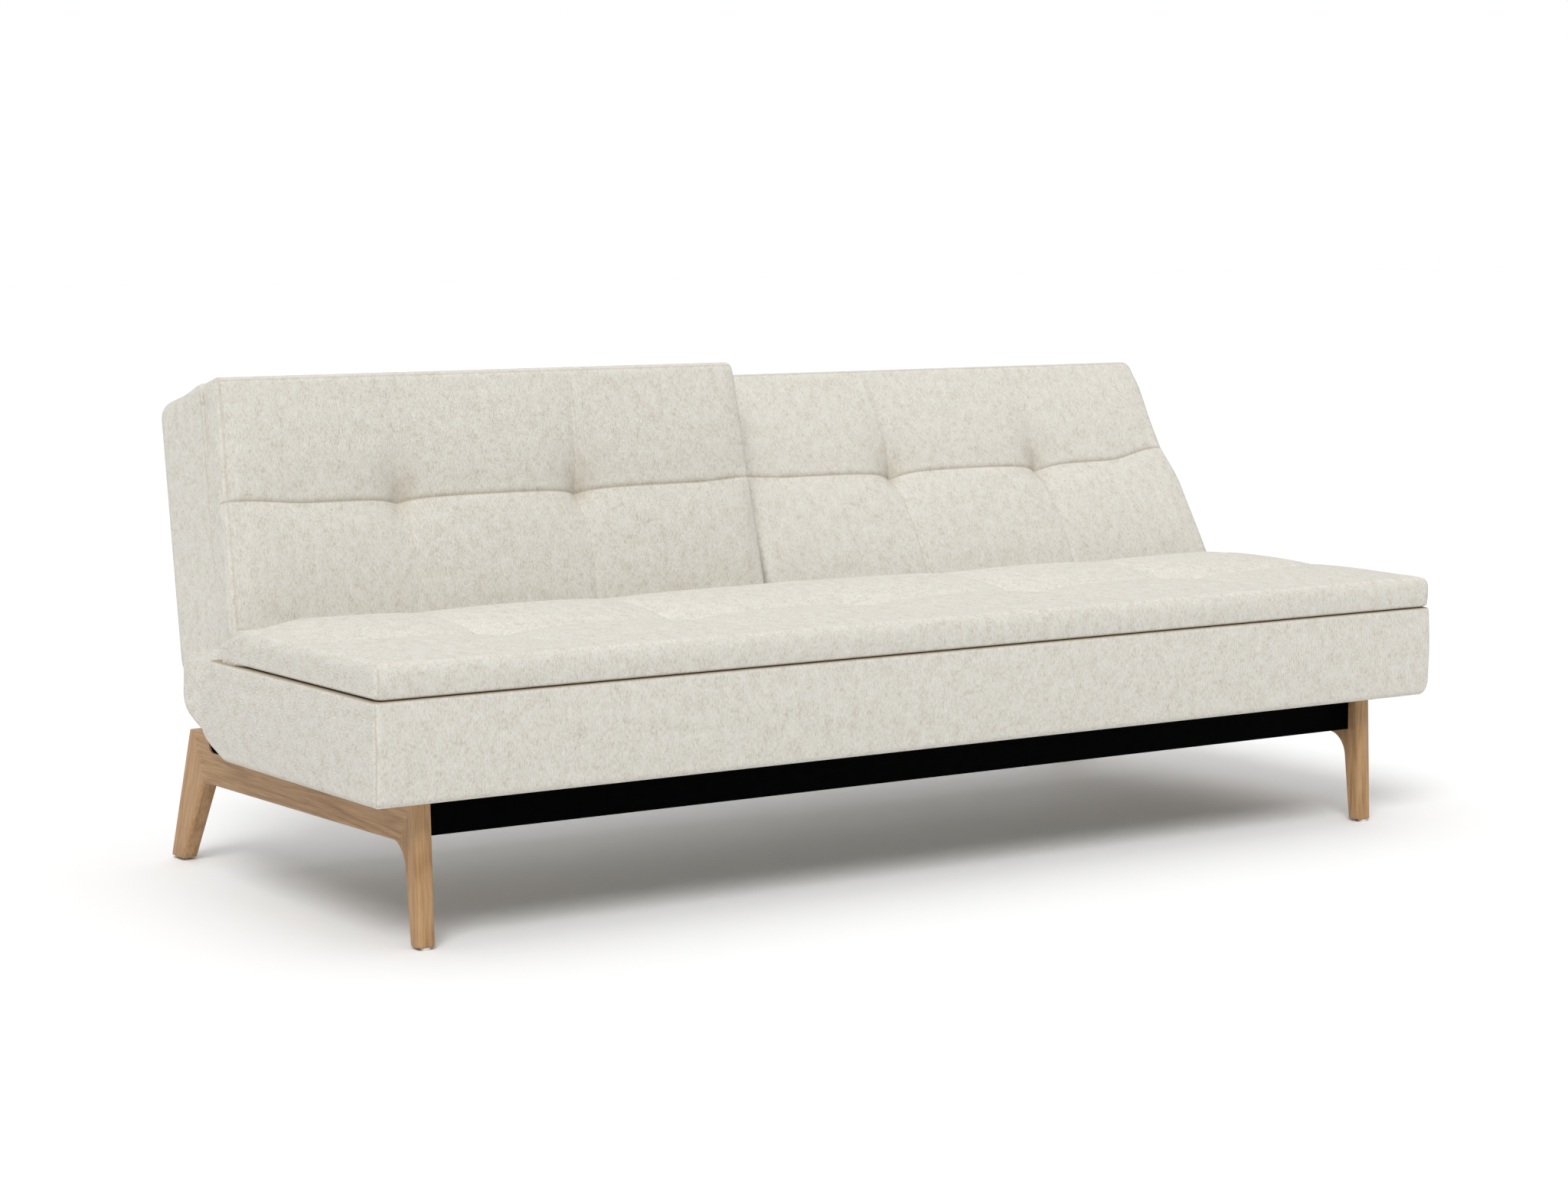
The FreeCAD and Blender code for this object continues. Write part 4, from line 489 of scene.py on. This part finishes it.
def topper_cover():
    low, high = (-TOPPER_HALF, 0, TOPPER_LOW), (TOPPER_HALF, TOPPER_REAR, TOPPER_HIGH)
    xs = spaced(low[0], high[0], 12, 16, TOPPER_TUFTS)
    ys = spaced(low[1], high[1], 11, 18, (TOPPER_SEAM,))
    zs = spaced(low[2], high[2], 7, 14)
    lattice, quads, sides = shell(xs, ys, zs)
    rear_radius = 8 + 8 * smooth((np.abs(lattice[:, 0]) - 960) / 60)
    p = rounded(lattice, low, high, ((17, 9, 5), (17, rear_radius, 17)))
    x, y, z = p.T.copy()
    # the upright left back presses on the rear edge, the right one stands clear
    y = y + (1.5 + 8 * smooth((5 - x) / 10)) * smooth((z - 404) / 28) * smooth((y - 430) / 90)
    up = smooth((z - TOPPER_LOW) / (TOPPER_HIGH - TOPPER_LOW))
    z = z + up * (topper_height(x, y) - TOPPER_HIGH)
    y = y - 2.5 * np.sin(np.pi * np.clip((z - 387) / 45, 0, 1)) * smooth((30 - y) / 30)
    # the left rear corner is pulled down into the fold beside the back
    corner = smooth((np.abs(x) - 900) / 130) * (x < 0)
    z = z - corner * (5 * smooth((y - 430) / 70) + 15 * smooth((y - 460) / 70))
    points = np.stack([x, y, z], 1)
    top = lattice[:, 2] > TOPPER_HIGH - 0.5
    seam = gauss(lattice[:, 1] - TOPPER_SEAM, 1.4) * top * 0.55
    corner_seam = gauss(np.abs(lattice[:, 0]) - TOPPER_HALF, 2.2) * gauss(lattice[:, 1], 2.2) * 0.3
    # painted shade: the bottom edge along the gap over the seat box is darkened to beige-brown through the
    # seam attribute; the middle seam line and the corner seams are stitching
    obj = mesh_object("seat_cushion_cover", to_row(points), quads, cloth_uvs(lattice, quads, sides),
                      {"seam": np.maximum(np.maximum(seam, corner_seam), smooth((386.5 - z) / 3) * 0.85)})
    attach(obj, "base")
    return dress(obj, "seat_cushion")


BACK_LENGTH = 463.0
BACK_SPLIT = 5.0
BACK_FOOT_X, BACK_TOP_X = 1028.0, 1004.0
BACK_FRONT, BACK_REAR = -30.0, 125.5
PAD_FRONT = -80.0
PAD_FOOT = 25.0
PAD_SEAM = 252.0
PAD_TUFTS = (350, 686)
PAD_INSET = 12.0


def pad_end_inset(z, side):
    """How far the outer end of a pad lies inside the slanted end of its box at the hinge."""
    if side == "left":
        return 10 + 6 * np.clip(z / BACK_LENGTH, 0, 1)
    return 10 + 13 * smooth((z - 185) / 75) - 6 * smooth((z - 300) / 110)


def seam_place(x, side):
    """Height of the long seam of a pad: it dips at the tufts and rises at the ends."""
    d = near_tuft(x, PAD_TUFTS)
    rise = 20 if side == "right" else 8
    return PAD_SEAM - 6 * np.exp(-d / 26) + rise * smooth((x - 850) / 120) + 5 * smooth((120 - x) / 110)


def slant(x, z, inner, outer):
    """Draws the outer end of a back in towards its top."""
    share = (x - inner) / (outer - inner)
    edge = outer + (BACK_TOP_X - BACK_FOOT_X) * np.clip(z / BACK_LENGTH, -0.1, 1)
    return inner + share * (edge - inner)


def back_box_cover(side, sign):
    low, high = (BACK_SPLIT, BACK_FRONT, 5), (BACK_FOOT_X, BACK_REAR, BACK_LENGTH)
    xs = spaced(low[0], high[0], 14, 26)
    ys = spaced(low[1], high[1], 9, 26)
    zs = spaced(low[2], high[2], 12, 26)
    lattice, quads, sides = shell(xs, ys, zs)
    deep = smooth((lattice[:, 1] - BACK_FRONT) / 90)
    outer_round = 7 + 21 * deep
    inner_round = 6 + 10 * deep
    p = rounded(lattice, low, high, ((inner_round, 6, 7 + 27 * deep), (outer_round, 27, 10 + 18 * deep)))
    x, y, z = p.T.copy()
    x = slant(x, z, low[0], high[0])
    ahead = np.clip((BACK_REAR - y) / (BACK_REAR - BACK_FRONT), 0, 1)
    x = x - 14 * ahead * smooth((x - 900) / 110)
    # the padding swells between the seams
    share_z = np.sin(np.pi * np.clip((z - 5) / (BACK_LENGTH - 5), 0, 1)) ** 0.7
    share_x = np.sin(np.pi * np.clip((x - 5) / 1000, 0, 1)) ** 0.6
    y = y + 2 * share_z * share_x * smooth((y - 90) / 36) * smooth((z - 200) / 80)
    points = np.stack([x, y, z], 1)
    points = back_to_seat(points, TILT[side])
    if sign < 0:
        points[:, 0] *= -1
        quads = quads[:, ::-1]
    uvs = cloth_uvs(lattice, quads, sides, True)
    obj = mesh_object("back_box_cover_" + side, to_row(points), quads, uvs,
                      {"seam": np.zeros(len(points))})
    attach(obj, "back_" + side)
    return dress(obj, "back_box_" + side)


def pad_swell(x, z):
    """How far the front of a back pad stands proud of its flat front, in millimetres."""
    d = near_tuft(x, PAD_TUFTS)
    crown = 8.0 - 4.5 * np.exp(-(d / 60) ** 1.0)
    seam = -1.5 - 9.0 * np.exp(-(d / 62) ** 1.05)
    low_edge = 40.0
    top_edge = BACK_LENGTH - 12
    t = np.clip((z - low_edge) / (PAD_SEAM - low_edge), 0, 1)
    bow = 1 - np.abs(2 * t ** 1.15 - 1) ** 2.4
    lower = seam * t ** 3.2 + (crown - seam * 0.12) * bow
    t = np.clip((top_edge - z) / (top_edge - PAD_SEAM), 0, 1)
    bow = 1 - np.abs(2 * t ** 1.15 - 1) ** 2.4
    upper = seam * t ** 3.2 + (crown - 1 - seam * 0.12) * bow
    n = np.where(z < PAD_SEAM, lower, upper)
    n = n - 1.5 * gauss(z - PAD_SEAM, 2.4) + 1.2 * gauss(z - PAD_SEAM - 7, 5)
    # a sewn tuft draws a funnel with a short fold above it
    along = z - PAD_SEAM
    distance = np.sqrt(d ** 2 + (along * np.where(along > 0, 0.62, 1.0)) ** 2)
    n = n - 15 * np.exp(-(distance / 21) ** 1.15)
    above = smooth(along / 8) * np.exp(-np.clip(along, 0, None) / 62)
    below = smooth(-along / 8) * np.exp(np.clip(along, None, 0) / 30)
    foot = smooth((115 - z) / 60) * 0.4
    n = n - 0.6 * gauss(d, 2.2) * smooth((BACK_LENGTH - 15 - z) / 20)
    return n - 3.6 * gauss(d, 4.2) * np.maximum(np.maximum(above, 0.7 * below), foot)


def back_pad_cover(side, sign):
    outer = BACK_FOOT_X - PAD_INSET
    low, high = (BACK_SPLIT + 1, PAD_FRONT, PAD_FOOT), (outer, BACK_FRONT + 6, BACK_LENGTH)
    xs = spaced(low[0], high[0], 11, 16, PAD_TUFTS)
    ys = spaced(low[1], high[1], 8, 14)
    zs = spaced(low[2], high[2], 10, 20, (PAD_SEAM,))
    lattice, quads, sides = shell(xs, ys, zs)
    outer_radius = 11 + (11 if side == "right" else 2) * smooth((lattice[:, 2] - 405) / 45)
    p = rounded(lattice, low, high, ((12, 17, 16), (outer_radius, 3, 17)))
    x, y, z = p.T.copy()
    x = slant(x, z, low[0], high[0] + PAD_INSET)
    end_x = high[0] + PAD_INSET - (BACK_FOOT_X - BACK_TOP_X) * np.clip(z / BACK_LENGTH, 0, 1)
    inset = pad_end_inset(z, side)
    x = x + (PAD_INSET - inset) * smooth((x - 700) / 290)
    near_end = smooth((x - low[0]) / 40) * smooth((end_x - inset - x) / 50)
    front = smooth((-32 - y) / 48)
    y = y - front * pad_swell(x, z) * (0.12 + 0.88 * near_end)
    # the long seam is a curve
    z = z + front * (seam_place(x, side) - PAD_SEAM) * gauss(z - PAD_SEAM, 70)
    points = np.stack([x, y, z], 1)
    points = back_to_seat(points, TILT[side])
    if sign < 0:
        points[:, 0] *= -1
        quads = quads[:, ::-1]
    on_front = lattice[:, 1] < PAD_FRONT + 14
    d = near_tuft(lattice[:, 0], PAD_TUFTS)
    along = lattice[:, 2] - PAD_SEAM
    seam = gauss(along, 1.4) * on_front * 0.6
    # painted shade: the front is darkened round each tuft and along the creases above and below it; the
    # lines at the top edge and the outer end are stitching
    painted_tuft_shade = np.exp(-np.sqrt(d ** 2 + np.where(along > 0, along * 0.5, along) ** 2) / 17) * 0.5
    painted_shade_and_stitch_lines = gauss(d, 1.2) * (0.13 + 0.25 * np.exp(-np.abs(along) / 55))
    painted_shade_and_stitch_lines = np.maximum(painted_shade_and_stitch_lines, painted_tuft_shade) * on_front
    top_edge = gauss(lattice[:, 2] - (BACK_LENGTH - 6), 2) * 0.32
    end_edge = gauss(lattice[:, 0] - (outer - 8.3), 1.7) * 0.3
    painted_shade_and_stitch_lines = np.maximum(painted_shade_and_stitch_lines, np.maximum(top_edge, end_edge) * on_front)
    uvs = cloth_uvs(lattice, quads, sides, True)
    obj = mesh_object("back_pad_cover_" + side, to_row(points), quads, uvs,
                      {"seam": np.maximum(seam, painted_shade_and_stitch_lines)})
    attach(obj, "back_" + side)
    return dress(obj, "back_pad_" + side)


def gusset(name, side, sign, outline, inner_x, outer_x, start, end, canonical_tilt, cell=14):
    """Fabric that joins a back to the seat: an outline in the YZ plane, drawn along X,
    given at canonical_tilt and turned with the back to its tilt at rest. A third number
    for a point of the outline is how far it lies inside outer_x at the outer end."""
    drawn_in = np.array([point[2] if len(point) > 2 else 0.0 for point in outline])
    outline = np.array([point[:2] for point in outline], float)
    s, e = np.array(start, float), np.array(end, float)
    share = np.clip(((outline - s) @ (e - s)) / ((e - s) @ (e - s)), 0, 1)
    weight = share * share * (3 - 2 * share)
    flat = np.concatenate([np.zeros((len(outline), 1)), outline], 1)
    turned = turn_about_pivot(flat, weight * (TILT[side] - canonical_tilt))
    ends = turn_about_pivot(np.array([[0, *start], [0, *end]]), np.array([0, TILT[side] - canonical_tilt]))
    count = len(outline)
    centre = turned[:, 1:].mean(0)
    centre_in = drawn_in.mean()
    rings = [(inner_x, k) for k in (0.1, 0.4, 0.7)]
    rings += [(x, 1.0) for x in spaced(inner_x, outer_x, cell, 10)]
    rings += [(outer_x, k) for k in (0.93, 0.75, 0.5, 0.3, 0.1)]
    points = []
    for x, k in rings:
        inset = max(0.0, 8 - min(x - inner_x, outer_x - x)) / 8 if k == 1 else 1
        ring = centre + (turned[:, 1:] - centre) * (1 - 0.05 * inset ** 2) * k
        along = (x - inner_x) / (outer_x - inner_x)
        depth = (centre_in + (drawn_in - centre_in) * k) * along
        bulge = 2.5 * (1 - k ** 2) * (1 if along > 0.5 else -1)
        points += [(sign * (x + bulge - d), y, z) for (y, z), d in zip(ring, depth)]
    quads = []
    for i in range(len(rings) - 1):
        for j in range(count):
            a, b = i * count + j, i * count + (j + 1) % count
            quads.append((a, b, b + count, a + count))
    quads.append(tuple(range(count - 1, -1, -1)))
    quads.append(tuple(len(points) - count + j for j in range(count)))
    if sign > 0:
        quads = [q[::-1] for q in quads]
    uvs = []
    for q in quads:
        rows = sorted(i // count for i in q)
        at_end = len(q) != 4 or rows[-1] <= 3 or rows[0] >= len(rings) - 6
        for i in q:
            x, y, z = points[i]
            uvs.append((z * MM, y * MM) if at_end else (x * MM, (y + z) * MM))
    obj = mesh_object(name + "_" + side, to_row(points), quads, uvs, {"seam": np.zeros(len(points))})
    obj.data.materials.append(fabric)
    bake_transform(obj)
    return obj


# Outlines of the joining fabric as (depth, height): below and behind the backs and at their
# outer ends with the back at the left tilt, and at the crease with the back flat
REAR_GUSSET = (
    (545, 240), (560, 246), (575, 252.5), (590, 259), (602, 264), (615, 268.5), (630, 273.5), (645, 278.5),
    (659, 283.5), (672, 289), (682, 295), (690, 303), (695, 312), (699, 322), (697, 334),
    (680, 342), (655, 349), (630, 354), (606, 352), (592, 338), (584, 318), (575, 296),
    (562, 272), (548, 254),
)
SIDE_FOLD = (
    (548, 244, 0), (575, 252.5, 0), (602, 264, 0), (630, 273.5, 1), (659, 283.5, 3), (674, 290, 5),
    (686, 299, 7), (694, 311, 9), (698, 324, 11), (701, 340, 13), (704, 356, 14), (706, 374, 16),
    (690, 396, 24), (655, 408, 28), (620, 408, 30), (585, 396, 28), (556, 380, 22), (532, 374, 12),
    (548, 358, 5), (575, 350, 3), (586, 332, 0), (584, 305, 0), (572, 278, 0), (556, 258, 0),
)
CREASE_GUSSET = (
    (526, 428), (538, 430), (550, 431), (562, 431.5), (574, 432), (586, 432), (598, 431.5), (610, 431),
    (622, 430), (634, 428), (634, 418), (622, 419), (610, 420), (598, 420.5), (586, 421), (574, 421),
    (562, 420.5), (550, 420), (538, 419), (526, 417),
)


STITCH_PITCH = 4.0
STITCH_RADII = (2.6, 3.6)
SEAM_IN = 14.5


def seam_ridge(side, sign):
    """Overcast seam along the outer end of a back, between its box and its pad."""
    rings = np.arange(34, BACK_LENGTH - 14, STITCH_PITCH)
    around = 8
    points = []
    uvs = []
    quads = []
    for row, z in enumerate(rings):
        edge = BACK_FOOT_X + (BACK_TOP_X - BACK_FOOT_X) * z / BACK_LENGTH
        radius = STITCH_RADII[row % 2]
        middle = edge - SEAM_IN
        for k in range(around):
            t = 2 * math.pi * k / around
            depth = BACK_FRONT - 0.5 + 1.5 * radius * math.sin(t)
            points.append((middle + radius * math.cos(t), depth, z))
    for row in range(len(rings) - 1):
        for k in range(around):
            a, b = row * around + k, row * around + (k + 1) % around
            quads.append((a, b, b + around, a + around))
    quads.append(tuple(range(around - 1, -1, -1)))
    quads.append(tuple((len(rings) - 1) * around + k for k in range(around)))
    for q in quads:
        uvs += [(points[i][1] * MM, points[i][2] * MM) for i in q]
    points = back_to_seat(np.array(points), TILT[side])
    if sign < 0:
        points[:, 0] *= -1
        flat = []
        offset = 0
        for q in quads:
            flat += uvs[offset:offset + len(q)][::-1]
            offset += len(q)
        uvs = flat
        quads = [q[::-1] for q in quads]
    obj = mesh_object("end_seam_" + side, to_row(points), quads, uvs,
                      {"seam": np.full(len(points), 0.16)})
    obj.data.materials.append(fabric)
    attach(obj, "back_" + side)
    return obj


for side, sign in SIDES:
    back_box_cover(side, sign)
    back_pad_cover(side, sign)
    seam_ridge(side, sign)
    gusset("rear_gusset", side, sign, REAR_GUSSET, 8, 1010, (555, 246), (697, 316), TILT["left"])
    gusset("side_fold", side, sign, SIDE_FOLD, 960, 1041, (560, 262), (680, 360), TILT["left"], 8)
    gusset("crease_gusset", side, sign, CREASE_GUSSET, 9, 1008, (528, 424), (632, 424), 90)
seat_box_cover()
topper_cover()

# Floor, light and camera
FLOOR_SPAN = 40.0


def floor_material():
    material, _, shader = nodes_of("white_floor")
    shader.inputs["Base Color"].default_value = (0.91, 0.91, 0.91, 1)
    shader.inputs["Roughness"].default_value = 0.7
    shader.inputs["Specular IOR Level"].default_value = 0.1
    return material


floor = mesh_object("floor", [(-FLOOR_SPAN, -FLOOR_SPAN, 0), (FLOOR_SPAN, -FLOOR_SPAN, 0),
                              (FLOOR_SPAN, FLOOR_SPAN, 0), (-FLOOR_SPAN, FLOOR_SPAN, 0)], [(0, 1, 2, 3)])
floor.data.materials.append(floor_material())

# Sky: dim at the horizon and bright overhead for the object, plain white where it is seen itself
SKY_LOW = 0.12
SKY_RISE = 1.28
world = bpy.data.worlds.new("studio")
bpy.context.scene.world = world
world.use_nodes = True
tree = world.node_tree
background = tree.nodes["Background"]
direction = add(tree, "ShaderNodeTexCoord")
split = add(tree, "ShaderNodeSeparateXYZ")
link(tree, direction.outputs["Generated"], split.inputs[0])
upward = math_node(tree, "MAXIMUM", split.outputs[2], 0.0)
steep = math_node(tree, "MULTIPLY", upward, upward)
sky = math_node(tree, "ADD", math_node(tree, "MULTIPLY", steep, SKY_RISE), SKY_LOW)
background.inputs["Color"].default_value = (1, 1, 1, 1)
link(tree, sky, background.inputs["Strength"])
seen = add(tree, "ShaderNodeBackground")
seen.inputs["Color"].default_value = (1, 1, 1, 1)
seen.inputs["Strength"].default_value = 1.0
path = add(tree, "ShaderNodeLightPath")
mirrored = math_node(tree, "MAXIMUM", path.outputs["Is Glossy Ray"],
                     path.outputs["Is Transmission Ray"])
direct = math_node(tree, "MAXIMUM", path.outputs["Is Camera Ray"], mirrored)
choose = add(tree, "ShaderNodeMixShader")
link(tree, direct, choose.inputs[0])
link(tree, background.outputs[0], choose.inputs[1])
link(tree, seen.outputs[0], choose.inputs[2])
link(tree, choose.outputs[0], tree.nodes["World Output"].inputs[0])


def sun_light(name, azimuth, elevation, strength, spread):
    """azimuth: degrees from the front towards the left end; spread: apparent size in degrees."""
    data = bpy.data.lights.new(name, "SUN")
    data.energy = strength
    data.angle = math.radians(spread)
    obj = bpy.data.objects.new(name, data)
    bpy.context.scene.collection.objects.link(obj)
    obj.rotation_euler = (math.radians(90 - elevation), 0, -math.radians(azimuth))
    return obj


KEY_AZIMUTH = 40
KEY_ELEVATION = 45
KEY_STRENGTH = 1.78
KEY_SPREAD = 24
sun_light("key_light", KEY_AZIMUTH, KEY_ELEVATION, KEY_STRENGTH, KEY_SPREAD)

VIEW_AZIMUTH = 34.08
VIEW_DOWN = 6.55
VIEW_PLACE = (-3230.97, -4275.25, 1081.57)
FOCAL_PIXELS = 4403.79
IMAGE_WIDTH = 2048
camera_data = bpy.data.cameras.new("camera")
camera_data.sensor_width = 36
camera_data.sensor_fit = "HORIZONTAL"
camera_data.lens = 36 * FOCAL_PIXELS / IMAGE_WIDTH
camera = bpy.data.objects.new("camera", camera_data)
bpy.context.scene.collection.objects.link(camera)
camera.location = to_row([VIEW_PLACE])[0]
camera.rotation_euler = (math.radians(90 - VIEW_DOWN), 0, -math.radians(VIEW_AZIMUTH))
bpy.context.scene.camera = camera
bpy.context.scene.view_settings.view_transform = "Standard"
